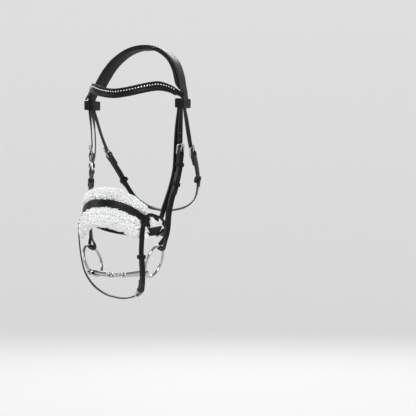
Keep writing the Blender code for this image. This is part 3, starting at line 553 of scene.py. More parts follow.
BLACK = leather_material("bridle_leather", (0.004, 0.0038, 0.004), (0.0085, 0.008, 0.0082),
                         (0.34, 0.48), 0.35)
SOFT = leather_material("soft_lining_leather", (0.007, 0.0066, 0.0068), (0.016, 0.015, 0.0152),
                        (0.5, 0.66), 0.55, coat=0.0)
SHINY = leather_material("padded_patent_leather", (0.005, 0.005, 0.0054), (0.009, 0.0088, 0.0094),
                         (0.36, 0.46), 0.25, coat=0.05)
EDGE = edge_material()
THREAD = thread_material()
STEEL = steel_material()
WOOL = wool_material()
STONE = stone_material()
STRAP_LOOKS = [BLACK, EDGE, THREAD]


# Straps

def spaced(start, stop, step):
    count = max(1, round(abs(stop - start) / step))
    return [start + (stop - start) * i / count for i in range(count + 1)]


def run(start, stop, height, step=9.0):
    """Profile points at one height above the route."""
    return [(s, height) for s in spaced(start, stop, step)]


def turn(centre, height, radius, first_deg, last_deg, count):
    """Profile points round a bar that lies across the route."""
    step = abs(last_deg - first_deg) / count
    angles = [math.radians(a) for a in spaced(first_deg, last_deg, step)]
    return [(centre + radius * math.cos(a), height + radius * math.sin(a)) for a in angles]


RAIL_STEP = 1.8


class Rail:
    """The middle of a strap: a smoothed profile of (length, height) points along a route."""

    def __init__(self, route, profile, side=1, face=1):
        self.route = route
        self.side = side
        self.face = face
        points = [Vector(p) for p in profile]
        padded = extended(points)
        self.spots = []
        for i in range(len(points) - 1):
            count = max(1, math.ceil((points[i + 1] - points[i]).length / RAIL_STEP))
            for k in range(count):
                self.spots.append(catmull_rom(padded[i:i + 4], k / count))
        self.spots.append(points[-1])
        self.marks = measured(self.spots)
        self.length = self.marks[-1]

    def at(self, u, a, n):
        """The point at distance u along the strap, a across it and n above its middle."""
        i, t = find_span(self.marks, u)
        spot = self.spots[i].lerp(self.spots[i + 1], t)
        along = heading_at(self.spots, i, min(1.0, max(0.0, t)))
        offset = n * self.face
        return self.route.place(spot.x - along.y * offset, a, spot.y + along.x * offset, self.side)

    def nearest(self, s, above=-100.0):
        """Distance along the strap of the spot at route length s, above a height."""
        fits = [i for i, p in enumerate(self.spots) if p.y > above]
        return self.marks[min(fits, key=lambda i: abs(self.spots[i].x - s))]


def strap_section(width, thick):
    """Corners round a strap: creased grain side, painted edges, plain flesh side."""
    w = width / 2.0
    t = thick / 2.0
    squeeze = min(1.0, width / 8.0)
    half = [(0.26 * w, t + 0.1), (w - 2.1 * squeeze, t + 0.04), (w - 1.65 * squeeze, t - 0.02),
            (w - 1.4 * squeeze, t - 0.2), (w - 1.15 * squeeze, t - 0.02), (w - 0.8 * squeeze, t),
            (w - 0.3 * squeeze, t - 0.28), (w, t * 0.35), (w, -t * 0.35),
            (w - 0.3 * squeeze, 0.25 - t), (w - 0.8 * squeeze, -t), (0.3 * w, -t)]
    return half + [(-a, n) for a, n in reversed(half)]


EDGE_CORNERS = (5, 6, 7, 8, 9, 13, 14, 15, 16, 17)
TIP_LENGTH = 10.0


def tip_share(distance):
    """Width share at a distance from a strap's pointed end."""
    d = min(1.0, max(0.0, distance / TIP_LENGTH))
    return 0.24 + 0.76 * math.sin(0.5 * math.pi * d) ** 0.8


def strap_shape(rail, width, thick=LEATHER, tip=False):
    """width is a number or a function of the share of the length."""
    shape = Shape()
    rings = []
    marks = list(rail.marks)
    if tip:
        marks += [rail.length - d for d in (0.35, 0.8, 1.3)]
        marks.sort()
    for u in marks:
        span = width(u / rail.length) if callable(width) else width
        if tip:
            span *= tip_share(rail.length - u)
        rings.append([rail.at(u, a, n) for a, n in strap_section(span, thick)])
    shape.tube(rings, look=lambda j: 1 if j in EDGE_CORNERS else 0)
    return shape


STITCH_PITCH = 3.1
STITCH_LENGTH = 2.3
STITCH_RADIUS = 0.26


def add_stitches(shape, point_at, first, last, look=2):
    """A row of threads. point_at gives a spot on the surface and one just above it."""
    count = max(1, int(abs(last - first) / STITCH_PITCH))
    step = (last - first) / count
    length = STITCH_LENGTH / STITCH_PITCH * step
    profile = [(0.0, 0.35), (0.16, 0.85), (0.5, 1.0), (0.84, 0.85), (1.0, 0.35)]
    for i in range(count):
        start = first + step * (i + 0.5) - length / 2.0
        low_a, high_a = point_at(start)
        low_b, _ = point_at(start + length)
        along = (low_b - low_a).normalized()
        up = (high_a - low_a).normalized()
        sideways = along.cross(up).normalized()
        rings = []
        for share, fat in profile:
            lift = (math.sin(math.pi * share) * 0.32 - 0.1) * MM
            centre = low_a.lerp(low_b, share) + up * lift
            rings.append([centre + (sideways * c + up * s) * STITCH_RADIUS * fat * MM
                          for c, s in circle(6)])
        shape.tube(rings, look=look)


# Buckles. Lengths are counted from the heel bar, towards the strap that carries the buckle.

PLY = (LEATHER + PLY_GAP) / 2.0
FOLD_RADIUS = WIRE + CLEAR + LEATHER / 2.0
BILLET_ON_TOP = PLY + LEATHER + CLEAR + 0.2
BILLET_OVER_BAR = FOLD_RADIUS + LEATHER + CLEAR + 0.1
BILLET_LOW = 0.2
FRONT_BAR_HEIGHT = BILLET_LOW + LEATHER / 2.0 + CLEAR + WIRE
CHAPE = 30.0
KEEPER_HEIGHTS = (-PLY - LEATHER / 2.0 - CLEAR, BILLET_ON_TOP + LEATHER / 2.0 + CLEAR)


def buckle_strap_profile(bar, end, step=9.0):
    """Folded ply, turn round the heel bar, then the strap itself out to its end."""
    fold_end = bar + (CHAPE if end > bar else -CHAPE)
    ahead = 1.0 if end > bar else -1.0
    inner = run(fold_end, bar + ahead * 6.0, -PLY, 8.0)
    around = [(bar + ahead * s, h) for s, h in turn(0.0, 0.0, FOLD_RADIUS, -70.0, -290.0, 11)]
    outer = run(bar + ahead * 6.0, end, PLY, step)
    return inner + around + outer


def billet_profile(bar, start, tip, step=9.0):
    """From the far end, under the front bar, over the heel bar and on to the tip."""
    toward = 1.0 if tip > bar else -1.0
    far = run(start, bar - toward * 24.0, BILLET_LOW, step)
    climb = [(-20.0, 0.2), (-16.0, 0.7), (-12.0, 2.0), (-8.0, 3.6), (-4.0, 5.2),
             (0.0, BILLET_OVER_BAR), (4.0, BILLET_OVER_BAR - 0.1), (8.0, BILLET_OVER_BAR - 0.7),
             (12.0, BILLET_ON_TOP + 0.3)]
    rise = [(bar + toward * s, h) for s, h in climb]
    rest = run(bar + toward * 16.0, tip - toward * 9.0, BILLET_ON_TOP, step)
    point = [(tip - toward * d, BILLET_ON_TOP) for d in (6.0, 3.0, 0.0)]
    return far + rise + rest + point


def pipe_rings(points, radius, sides, closed=False, up=None):
    """Circles along a path. radius is a number or a function of the point's index."""
    count = len(points)
    rings = []
    reference = up or (points[1] - points[0]).orthogonal().normalized()
    for i, point in enumerate(points):
        if closed:
            along = (points[(i + 1) % count] - points[i - 1]).normalized()
        else:
            along = (points[min(i + 1, count - 1)] - points[max(i - 1, 0)]).normalized()
        reference = (reference - along * reference.dot(along)).normalized()
        sideways = along.cross(reference)
        size = (radius(i) if callable(radius) else radius) * MM
        rings.append([point + (sideways * c + reference * s) * size for c, s in circle(sides)])
    return rings


def buckle(name, route, bar, toward, width, side=1):
    """The wire frame: heel bar, two side bars and a front bar, with a slight swage."""
    half = width / 2.0 + CLEAR + WIRE
    outline = []
    corners = [(0.0, 1, 180.0, HEEL_CORNER), (BUCKLE_LENGTH, 1, 90.0, CORNER),
               (BUCKLE_LENGTH, -1, 0.0, CORNER), (0.0, -1, -90.0, HEEL_CORNER)]
    for end, way, first, radius in corners:
        centre_s = radius if end == 0.0 else end - radius
        centre_a = way * (half - radius)
        for angle in spaced(first, first - 90.0, 11.25):
            a = math.radians(angle)
            outline.append((centre_s + radius * math.cos(a), centre_a + radius * math.sin(a)))
    dense = []
    for i, (s, a) in enumerate(outline):
        next_s, next_a = outline[(i + 1) % len(outline)]
        pieces = max(1, round(math.hypot(next_s - s, next_a - a) / 1.6))
        for k in range(pieces):
            t = k / pieces
            dense.append((s + (next_s - s) * t, a + (next_a - a) * t))
    points = [route.place(bar - toward * s, a, FRONT_BAR_HEIGHT * s / BUCKLE_LENGTH, side)
              for s, a in dense]

    def radius_at(i):
        s = dense[i][0]
        return WIRE * (1.0 if s < 2.0 else 1.0 + 0.1 * math.sin(math.pi * s / BUCKLE_LENGTH))

    shape = Shape()
    shape.tube(pipe_rings(points, radius_at, 18, closed=True), closed=True)
    return add_piece(name + "_frame", shape, name, [STEEL])


def tongue(name, route, bar, toward, side=1):
    """A wire tongue curled round the heel bar and resting on the front bar."""
    radius = WIRE + CLEAR + TONGUE_WIRE
    rise = 10.6
    curl = [(radius * math.cos(math.radians(a)), radius * math.sin(math.radians(a)))
            for a in spaced(-185.0, 90.0 - rise, 11.0)]
    end = BUCKLE_LENGTH + 2.5
    start_s, start_h = curl[-1]
    slope = math.tan(math.radians(rise))
    arm = [(-s, start_h + (start_s + s) * slope) for s in spaced(1.5, end, 1.5)]
    points = [route.place(bar + toward * s, 0.0, h, side) for s, h in curl + arm]
    last = len(points) - 1

    def radius_at(i):
        from_end = min(i, last - i)
        return TONGUE_WIRE * min(1.0, 0.45 + 0.3 * from_end) * (1.08 if i < len(curl) else 1.0)

    shape = Shape()
    shape.tube(pipe_rings(points, radius_at, 14))
    return add_piece(name + "_pin", shape, name, [STEEL])


def round_ended(first, last, half, corners):
    """Outline of a slot with half-round ends."""
    outline = []
    for centre, start in ((last - half, -90.0), (first + half, 90.0)):
        for k in range(corners):
            angle = math.radians(start + 180.0 * k / (corners - 1))
            outline.append((centre + half * math.cos(angle), half * math.sin(angle)))
    return outline


STITCH_INSET = 2.35
HOLE_RADIUS = 1.35
HOLE_PITCH = 15.0


def sleeve(name, route, s, half_across, heights, side=1, length=KEEPER_BAND, thick=KEEPER_THICK,
           corner=1.3, stitched=False):
    """A leather loop round a strap, with rounded and creased edges."""
    middle = (heights[0] + heights[1]) / 2.0
    half_height = (heights[1] - heights[0]) / 2.0
    loop = []
    for quarter in range(4):
        sign_a = (1, -1, -1, 1)[quarter]
        sign_h = (1, 1, -1, -1)[quarter]
        for k in range(6):
            angle = math.radians(90.0 * quarter + 18.0 * k)
            loop.append((sign_a * (half_across - corner), sign_h * (half_height - corner), angle))
    half = length / 2.0
    section = [(half - 0.6, 0.0), (half - 0.15, 0.3), (half, thick * 0.5),
               (half - 0.25, thick * 0.88), (half - 0.8, thick), (half - 1.25, thick - 0.05),
               (half - 1.45, thick - 0.2), (half - 1.65, thick - 0.05), (half - 2.0, thick + 0.02),
               (half * 0.3, thick + 0.08)]
    section += [(-d, n) for d, n in reversed(section)]
    corners = []
    for i, (a, h, angle) in enumerate(loop):
        corners.append((a, h, math.cos(angle), math.sin(angle)))
        if i % 6 == 5:
            next_a, next_h, _ = loop[(i + 1) % len(loop)]
            span = math.hypot(next_a - a, next_h - h)
            for k in range(1, max(1, round(span / 2.5))):
                t = k / max(1, round(span / 2.5))
                corners.append((a + (next_a - a) * t, h + (next_h - h) * t,
                                math.cos(angle), math.sin(angle)))
    rings = []
    for a, h, na, nh in corners:
        ring = []
        for d, n in section:
            reach = corner + n
            ring.append(route.place(s + d, a + na * reach, middle + h + nh * reach, side))
        rings.append(ring)
    shape = Shape()
    shape.tube(rings, look=lambda j: 1 if j in (0, 1, 2, 16, 17, 18) else 0, closed=True)
    if stitched:
        for edge in (-1, 1):
            def spot(a):
                top = middle + half_height + thick
                return (route.place(s + edge * (half - 2.6), a, top, side),
                        route.place(s + edge * (half - 2.6), a, top + 1.0, side))
            add_stitches(shape, spot, 2.0 - half_across, half_across - 2.0)
    return add_piece(name + "_leather", shape, name, STRAP_LOOKS)


def side_name(side):
    return "left" if side > 0 else "right"


def strap_piece(node, rail, width, thick=LEATHER, tip=False, edges=(), rows=()):
    """A leather strap. edges are (first, last, across) stitch rows, rows are (u, half)."""
    shape = strap_shape(rail, width, thick, tip)
    top = thick / 2.0
    for first, last, across in edges:
        add_stitches(shape, lambda u: (rail.at(u, across, top), rail.at(u, across, top + 1.0)),
                     first, last)
    for u, half in rows:
        add_stitches(shape, lambda a: (rail.at(u, a, top), rail.at(u, a, top + 1.0)), -half, half)
    return add_piece(node + "_leather", shape, node, STRAP_LOOKS)


def billet_holes(rail, bar, toward):
    """Spare holes: two before the buckle and those that fit between it and the tip."""
    spots = []
    for step in (-3, -2, 2, 3, 4, 5):
        s = bar + toward * HOLE_PITCH * step
        u = rail.nearest(s)
        if 16.0 < u < rail.length - 17.0:
            spots.append(u)
    return spots


def buckle_edges(rail, bar, toward, width=STRAP_WIDTH):
    """Two stitch rows along the folded part of a strap with a buckle."""
    start = rail.nearest(bar + toward * 9.0, above=1.0)
    stop = rail.nearest(bar + toward * CHAPE, above=1.0)
    edge = width / 2.0 - STITCH_INSET
    return [(start, stop, edge), (start, stop, -edge)]


def fasten(label, route, bar, toward, strap, billet_node, profile, keeper_at, side=1, face=1,
           width=STRAP_WIDTH):
    """All that meets at one buckle: billet, slots, frame, tongue and keeper."""
    rail = Rail(route, profile, side, face)
    billet = strap_piece(billet_node, rail, width - 0.5, tip=True)
    slot = Shape()
    ends = sorted((bar - toward * 6.0, bar + toward * 5.5))
    corners = ((ends[0], -1.9), (ends[1], -1.9), (ends[1], 1.9), (ends[0], 1.9))
    slot.tube([[route.place(s, a, h, side) for s, a in corners] for h in (-6.0, 6.5)])
    boolean(strap, slot, "DIFFERENCE")
    hole = Shape()
    ends = sorted((bar - toward * 13.2, bar + toward * 1.4))
    outline = round_ended(*ends, 1.6, 9)
    hole.tube([[route.place(s, a, h, side) for s, a in outline] for h in (-3.0, 11.0)])
    for u in billet_holes(rail, bar, toward):
        outline = round_ended(u - HOLE_RADIUS, u + HOLE_RADIUS, HOLE_RADIUS, 7)
        hole.tube([[rail.at(d, a, n) for d, a in outline] for n in (-3.0, 3.0)])
    boolean(billet, hole, "DIFFERENCE")
    buckle(label + "_buckle", route, bar, toward, width, side)
    tongue(label + "_tongue", route, bar, toward, side)
    sleeve(label + "_keeper", route, keeper_at, width / 2.0 + CLEAR, KEEPER_HEIGHTS, side)
    return rail


def pad_ring(route, s, span, height, round_across, round_up, count):
    """Section of a pad. height gives the height for a swell of -1 to 1 and a cosine."""
    ring = []
    for c, up in circle(count):
        a = span * math.copysign(abs(c) ** round_across, c)
        ring.append(route.place(s, a, height(math.copysign(abs(up) ** round_up, up), c)))
    return ring


# Headpiece, browband and cheeks

def make_headpiece():
    half = CROWN.length / 2.0
    end = half - 3.0
    inner = half - 44.0
    top = PADDING_THICK + CLEAR + 0.3 + LEATHER / 2.0
    profile = []
    for offset in spaced(-end, end, 8.5):
        lap = max(0.0, (abs(offset) - inner) / (end - inner))
        profile.append((half + offset, top - 2.5 * lap))
    rail = Rail(CROWN, profile)

    def width(share):
        narrowing = (HEADPIECE_END_WIDTH - HEADPIECE_WIDTH) * abs(2.0 * share - 1.0) ** 2
        return HEADPIECE_WIDTH + narrowing

    edges = [(6.0, rail.length - 6.0, way * (HEADPIECE_END_WIDTH / 2.0 - 2.3)) for way in (-1, 1)]
    strap_piece("headpiece", rail, width, edges=edges)

    shape = Shape()
    rings = []
    for offset in spaced(-inner, inner, 2.4):
        share = abs(offset) / inner
        close = min(1.0, (1.0 - share) * inner / 9.0)
        span = (HEADPIECE_WIDTH + 8.0) / 2.0 * (0.55 + 0.45 * math.sin(0.5 * math.pi * close))

        def height(swell, c):
            if abs(offset) < SEAT_HALF and swell < 0.0 and abs(c) < 0.93:
                return 0.0
            return max(0.0, PADDING_THICK / 2.0 * (1.0 + swell * (0.55 + 0.45 * close)))

        rings.append(pad_ring(CROWN, half + offset, span, height, 0.75, 0.6, 32))
    shape.tube(rings)
    for way in (-1, 1):
        def spot(u):
            near = half + u
            return (CROWN.place(near, way * (HEADPIECE_WIDTH / 2.0 + 1.6), PADDING_THICK - 1.0),
                    CROWN.place(near, way * (HEADPIECE_WIDTH / 2.0 + 1.6), PADDING_THICK))
        add_stitches(shape, spot, 10.0 - inner, inner - 10.0, look=1)
    pad = add_piece("headpiece_pad", shape, "headpiece_padding", [SOFT, THREAD])


CHANNEL_FLOOR = 1.5
BROWBAND_END_INSET = 25.0
BROWBAND_TAPER = 45.0


def browband_share(from_end):
    """Share of the full width at a distance from the end of the padded part."""
    return min(1.0, 0.62 + 0.38 * from_end / BROWBAND_TAPER)


def browband_section(width):
    """Lower padded roll, channel for the stones and narrow upper roll. Across runs downward."""
    w = width / 2.0
    scale = width / BROWBAND_WIDTH
    lower_mid, lower_half = w - 5.9 * scale, 5.9 * scale
    upper_mid, upper_half = 2.3 * scale - w, 2.3 * scale
    section = [(w - 1.2, 0.0), (w - 0.3, 0.25)]
    for k in range(1, 12):
        angle = math.radians(-62.0 + 27.0 * k * 0.92)
        if angle > math.radians(196.0):
            break
        section.append((lower_mid + lower_half * math.cos(angle),
                        max(0.35, 2.0 + 4.3 * scale * math.sin(angle))))
    section.append((lower_mid - lower_half - 0.35, CHANNEL_FLOOR))
    section.append((upper_mid + upper_half + 0.3, CHANNEL_FLOOR))
    for k in range(9):
        angle = math.radians(-12.0 + 26.0 * k)
        section.append((upper_mid + upper_half * math.cos(angle),
                        max(0.3, 2.2 + 2.5 * math.sin(angle))))
    section.append((1.2 - w, 0.0))
    return section


def make_browband():
    half = BROW.length / 2.0
    end = half - BROWBAND_END_INSET
    base = BROWBAND_LINING + CLEAR + 0.2

    def width(offset, full):
        return full * browband_share(max(0.0, end - abs(offset)))

    tab = half - 13.0                            # the leather runs on to the loop
    shape = Shape()
    rings = []
    for offset in spaced(-tab, tab, 1.9):
        past = min(1.0, max(0.0, (abs(offset) - end + 3.0) / 8.0))
        climb = 4.8 * (max(0.0, abs(offset) - end + 9.0) / (tab - end + 9.0)) ** 1.5
        wrinkle = noise.noise(Vector((offset * 0.11, 3.0, 1.0))) * 0.22 * (1.0 - past)
        ring = []
        for a, h in browband_section(width(offset, BROWBAND_WIDTH)):
            puff = 1.0 + 0.06 * noise.noise(Vector((offset * 0.16, a * 0.22, 0.0)))
            tall = h * puff * (1.0 - past) + past * min(3.4, 4.0 * h)
            ring.append(BROW.place(half + offset, a, base + climb + tall + wrinkle * (h > 2.5)))
        rings.append(ring)
    shape.tube(rings)
    for place in (10.1, -8.9):
        def spot(u):
            share = width(u, BROWBAND_WIDTH) / BROWBAND_WIDTH
            a = place * share
            return BROW.place(half + u, a, base + 0.9), BROW.place(half + u, a, base + 1.9)
        add_stitches(shape, spot, 4.0 - end, end - 4.0, look=1)
    band_piece = add_piece("browband_rolls", shape, "browband", [SHINY, THREAD],
                           sharp_deg=60.0)

    shape = Shape()
    rings = []
    for offset in spaced(-end, end, 2.6):
        span = width(offset, BROWBAND_WIDTH - 2.0) / 2.0
        rings.append(pad_ring(BROW, half + offset, span,
                              lambda swell, c: BROWBAND_LINING / 2.0 * (1.0 + swell), 0.7, 0.7, 20))
    shape.tube(rings)
    lining = add_piece("browband_soft_lining", shape, "browband_lining", [SOFT])
    make_stones(half, base)


STONE_RADIUS = 1.6
STONE_PITCH = 6.0


def make_stones(half, base):
    """Faceted stones in round metal cups, along the channel."""
    stones = Shape()
    row = half - 36.0
    for s in spaced(half - row, half + row, STONE_PITCH):
        share = browband_share(half - BROWBAND_END_INSET - abs(s - half))
        middle = -CRYSTAL_ROW * share - 0.2
        floor = base + CHANNEL_FLOOR
        radius = STONE_RADIUS * (0.82 + 0.18 * share)

        def ring(r, h, count, turn_by=0.0):
            return [BROW.place(s + r * c, middle + r * d, floor + h)
                    for c, d in circle(count, turn_by)]

        cup = [ring(r, h, 20) for r, h in ((radius * 0.9, -0.3), (radius * 1.06, -0.2),
                                           (radius * 1.1, 0.6), (radius * 1.08, 1.2),
                                           (radius * 1.02, 1.35), (radius * 0.96, 1.3),
                                           (radius * 0.93, 1.0))]
        stones.tube(cup, look=1)
        girdle = ring(radius * 0.97, 1.25, 8)
        shoulder = ring(radius * 0.78, 2.1, 8, 0.5)
        table = ring(radius * 0.48, 2.6, 8)
        first = len(stones.points)
        stones.points.extend(ring(radius * 0.95, 0.9, 8) + girdle + shoulder + table)
        for k in range(8):
            n = (k + 1) % 8
            stones.face((first + k, first + n, first + 8 + n, first + 8 + k))
            stones.face((first + 8 + k, first + 8 + n, first + 16 + k))
            stones.face((first + 16 + k, first + 8 + n, first + 16 + n))
            stones.face((first + 16 + k, first + 24 + n, first + 24 + k))
            stones.face((first + 16 + k, first + 16 + n, first + 24 + n))
        stones.face([first + k for k in reversed(range(8))])
        stones.face([first + 24 + k for k in range(8)])
    add_piece("browband_stones", stones, "crystal_strip", [STONE, STEEL], sharp_deg=14.0)


def make_browband_loop(side):
    sleeve(side_name(side) + "_browband_loop", LOOP_LINE, LOOP_LINE.length / 2.0,
           HEADPIECE_END_WIDTH / 2.0 + 4.8, (-6.0, 10.5), side, length=20.0, thick=2.4, corner=3.2,
           stitched=True)


def make_cheek(side):
    label = side_name(side)
    bar = CHEEK.station_at((108.0, -50.0, -231.0))
    ring_at = CHEEK.station_at(CHEEK_END)
    loop_radius = RING_WIRE + 2.4 + LEATHER / 2.0
    neck = ring_at - 22.0
    fold = buckle_strap_profile(bar, neck)
    opening = [(neck + 5.0, PLY + 0.8), (neck + 11.0, PLY + 2.6),
               (neck + 16.5, loop_radius - 0.9)]
    around = turn(ring_at, 0.0, loop_radius, 80.0, -80.0, 9)
    closing = [(s, -h) for s, h in reversed(opening)]
    back = run(neck, bar + CHAPE + 12.0, -PLY)
    rail = Rail(CHEEK, fold + opening + around + closing + back, side)
    loop_start = rail.nearest(neck - 46.0, above=1.0)
    loop_end = rail.nearest(neck - 2.0, above=1.0)
    edge = STRAP_WIDTH / 2.0 - STITCH_INSET
    rows = buckle_edges(rail, bar, 1.0) + [(loop_start, loop_end, edge),
                                           (loop_start, loop_end, -edge)]
    cheekpiece = strap_piece(label + "_cheekpiece", rail, STRAP_WIDTH, edges=rows,
                             rows=[(loop_end, 3.6)])
    fasten(label + "_cheek", CHEEK, bar, 1.0, cheekpiece, label + "_cheek_billet",
           billet_profile(bar, 2.0, bar + 96.0), bar + 24.0, side)
    sleeve(label + "_cheek_runner", CHEEK, bar + 68.0, STRAP_WIDTH / 2.0 + CLEAR, KEEPER_HEIGHTS,
           side)


# Throatlatch and hangers

def make_throat():
    bar = THROAT.station_at((103.0, 20.0, -229.0))
    total = WHOLE_THROAT.length
    left_fold = buckle_strap_profile(bar, total / 2.0)
    right_fold = [(total - s, h) for s, h in reversed(left_fold)]
    rail = Rail(WHOLE_THROAT, left_fold + right_fold[1:])
    edge = STRAP_WIDTH / 2.0 - STITCH_INSET
    rows = []
    for first, last in ((bar + 9.0, bar + CHAPE), (total - bar - CHAPE, total - bar - 9.0)):
        start = rail.nearest(first, above=1.0)
        stop = rail.nearest(last, above=1.0)
        rows += [(start, stop, edge), (start, stop, -edge)]
    latch = strap_piece("throatlatch", rail, STRAP_WIDTH, edges=rows)
    for side in (1, -1):
        label = side_name(side)
        fasten(label + "_throat", THROAT, bar, 1.0, latch, label + "_throat_billet",
               billet_profile(bar, 1.0, bar + 92.0), bar + 74.0, side)


def make_hangers():
    strap_piece("left_hanger", Rail(HANGER, run(2.0, HANGER.length - 2.0, PLY)), STRAP_WIDTH)
    route = BUCKLED_HANGER
    bar = route.station_at((95.7, -71.0, -268.0))
    rail = Rail(route, buckle_strap_profile(bar, route.length - 2.0), -1)
    hanger = strap_piece("right_hanger", rail, STRAP_WIDTH, edges=buckle_edges(rail, bar, 1.0))
    fasten("hanger", route, bar, 1.0, hanger, "right_hanger_billet",
           billet_profile(bar, 2.0, bar + 62.0, 7.0), bar + 22.0, side=-1)


# Noseband

class Roll:
    """The surface of a wool roll: position -1 to 1 along it and an angle round it."""

    def __init__(self, route, lengths, middle, half_across, half_height, shrink):
        self.route = route
        self.centre = (lengths[0] + lengths[1]) / 2.0
        self.half = (lengths[1] - lengths[0]) / 2.0
        self.middle = middle
        self.half_across = half_across
        self.half_height = half_height
        self.shrink = shrink

    def at(self, position, angle, lift=0.0):
        radius = math.sqrt(max(0.0, 1.0 - abs(position) ** 5))
        share = position * position
        a = self.middle[0] + (self.middle[1] - self.middle[0]) * share
        span = self.half_across[0] + (self.half_across[1] - self.half_across[0]) * share
        depth = self.half_height[0] + (self.half_height[1] - self.half_height[0]) * share
        span = (span - self.shrink) * radius + lift
        depth = (depth - self.shrink) * radius + lift
        s = self.centre + (self.half - self.shrink * 0.5) * position
        return self.route.place(s, a + span * math.cos(angle), depth * math.sin(angle))

    def normal(self, position, angle):
        inner = max(-0.985, min(0.985, position))
        step = 0.01
        along = self.at(inner + step, angle) - self.at(inner - step, angle)
        around = self.at(inner, angle + 0.05) - self.at(inner, angle - 0.05)
        out = along.cross(around).normalized()
        middle = self.at(inner, angle, 1.0) - self.at(inner, angle, 0.0)
        if out.dot(middle) < 0.0:
            out = -out
        if abs(position) > 0.97:
            out = (out + along.normalized() * math.copysign(0.8, position)).normalized()
        return out


LOCK_RINGS = ((0.0, 0.85), (0.22, 1.0), (0.46, 0.95), (0.7, 0.72), (0.88, 0.42), (1.0, 0.12))


def add_lock(shape, rng, root, out, length, radius, sag):
    """One curled lock of wool that grows from root."""
    swirl = Vector((rng.uniform(-1, 1), rng.uniform(-1, 1), rng.uniform(-1, 1)))
    swirl = (swirl - out * swirl.dot(out)).normalized()
    heading = (out + swirl * 0.35 + Vector((0.0, 0.0, -sag))).normalized()
    bend = out.cross(swirl).normalized()
    twist = rng.uniform(0.9, 2.1)
    spot = root.copy()
    turn_axis = (bend + out * 0.5).normalized()
    rings = []
    before = 0.0
    reference = heading.orthogonal().normalized()
    for share, fat in LOCK_RINGS:
        spot = spot + heading * (length * (share - before) * MM)
        heading = Matrix.Rotation(twist * (share - before), 3, turn_axis) @ heading
        before = share
        reference = (reference - heading * reference.dot(heading)).normalized()
        sideways = heading.cross(reference)
        size = radius * fat * MM
        rings.append([spot + (reference * c + sideways * s) * size
                      for c, s in ((1, 0), (0, 1), (-1, 0), (0, -1))])
    shape.tube(rings)


GOLDEN_ANGLE = 2.39996
TUFT_RADIUS = 8.6
TUFT_LOCKS = 280


def wool_ball(shape, rng, centre, length, fat):
    """A tuft of wool that swells out past a strap."""
    rings = []
    for k in range(1, 14):
        polar = math.pi * k / 14
        flat = math.sin(polar)
        rings.append([centre + Vector((flat * c, flat * s, math.cos(polar))) * TUFT_RADIUS * MM
                      for c, s in circle(24)])
    shape.tube(rings)
    for i in range(TUFT_LOCKS):
        rise = 1.0 - 2.0 * (i + 0.5) / TUFT_LOCKS
        angle = i * GOLDEN_ANGLE
        flat = math.sqrt(1.0 - rise * rise)
        out = Vector((flat * math.cos(angle), flat * math.sin(angle), rise))
        add_lock(shape, rng, centre + out * (TUFT_RADIUS - 0.6) * MM, out,
                 length * rng.uniform(0.7, 1.2), fat * rng.uniform(0.8, 1.25), 0.2)


ALONG_STEP = 0.7548777                           # steps that spread the locks evenly
ROUND_STEP = 0.5698403


def wool_lump(spot):
    return (noise.noise(spot * 85.0) * 2.6 + noise.noise(spot * 210.0) * 1.1) * MM


def fleece(name, node, roll, count, seed, length, radius, tufts=()):
    """A padded roll covered in curled locks of wool that lean over the strap beside it."""
    rng = random.Random(seed)
    shape = Shape()
    rings = []
    for position in [math.sin(0.5 * math.pi * x) for x in spaced(-0.985, 0.985, 0.02)]:
        ring = []
        for k in range(40):
            angle = math.tau * k / 40
            spot = roll.at(position, angle)
            ring.append(spot + roll.normal(position, angle) * (wool_lump(spot) - 0.3 * MM))
        rings.append(ring)
    shape.tube(rings)
    strapward = -math.copysign(1.0, roll.middle[0])
    for i in range(count):
        position = 2.0 * ((i * ALONG_STEP) % 1.0) - 1.0
        angle = math.tau * ((i * ROUND_STEP) % 1.0) + rng.uniform(-0.06, 0.06)
        position = max(-0.999, min(0.999, position + rng.uniform(-0.006, 0.006)))
        reach = math.sqrt(max(0.0, 1.0 - abs(position) ** 5))
        if reach < rng.random() * 0.9:
            continue
        out = roll.normal(position, angle)
        root = roll.at(position, angle)
        root += out * wool_lump(root)
        clump = 0.5 + 0.5 * noise.noise(root * 110.0)
        size = length * (0.5 + 0.85 * clump + 0.2 * rng.random())
        if math.sin(angle) < -0.35:
            size *= 0.55
        lean = math.cos(angle) * strapward
        if lean > 0.25 and math.sin(angle) > 0.05:
            across = roll.at(position, 0.0) - roll.at(position, math.pi)
            out = (out + across.normalized() * strapward * 0.9).normalized()
            size *= 1.25 + 0.5 * rng.random()
        add_lock(shape, rng, root - out * 0.8 * MM, out, size, radius * rng.uniform(0.8, 1.3), 0.22)
    for centre in tufts:
        wool_ball(shape, rng, centre, length * 0.8, radius)
    item = add_piece(name, shape, node, [WOOL], sharp_deg=80.0)
    return item


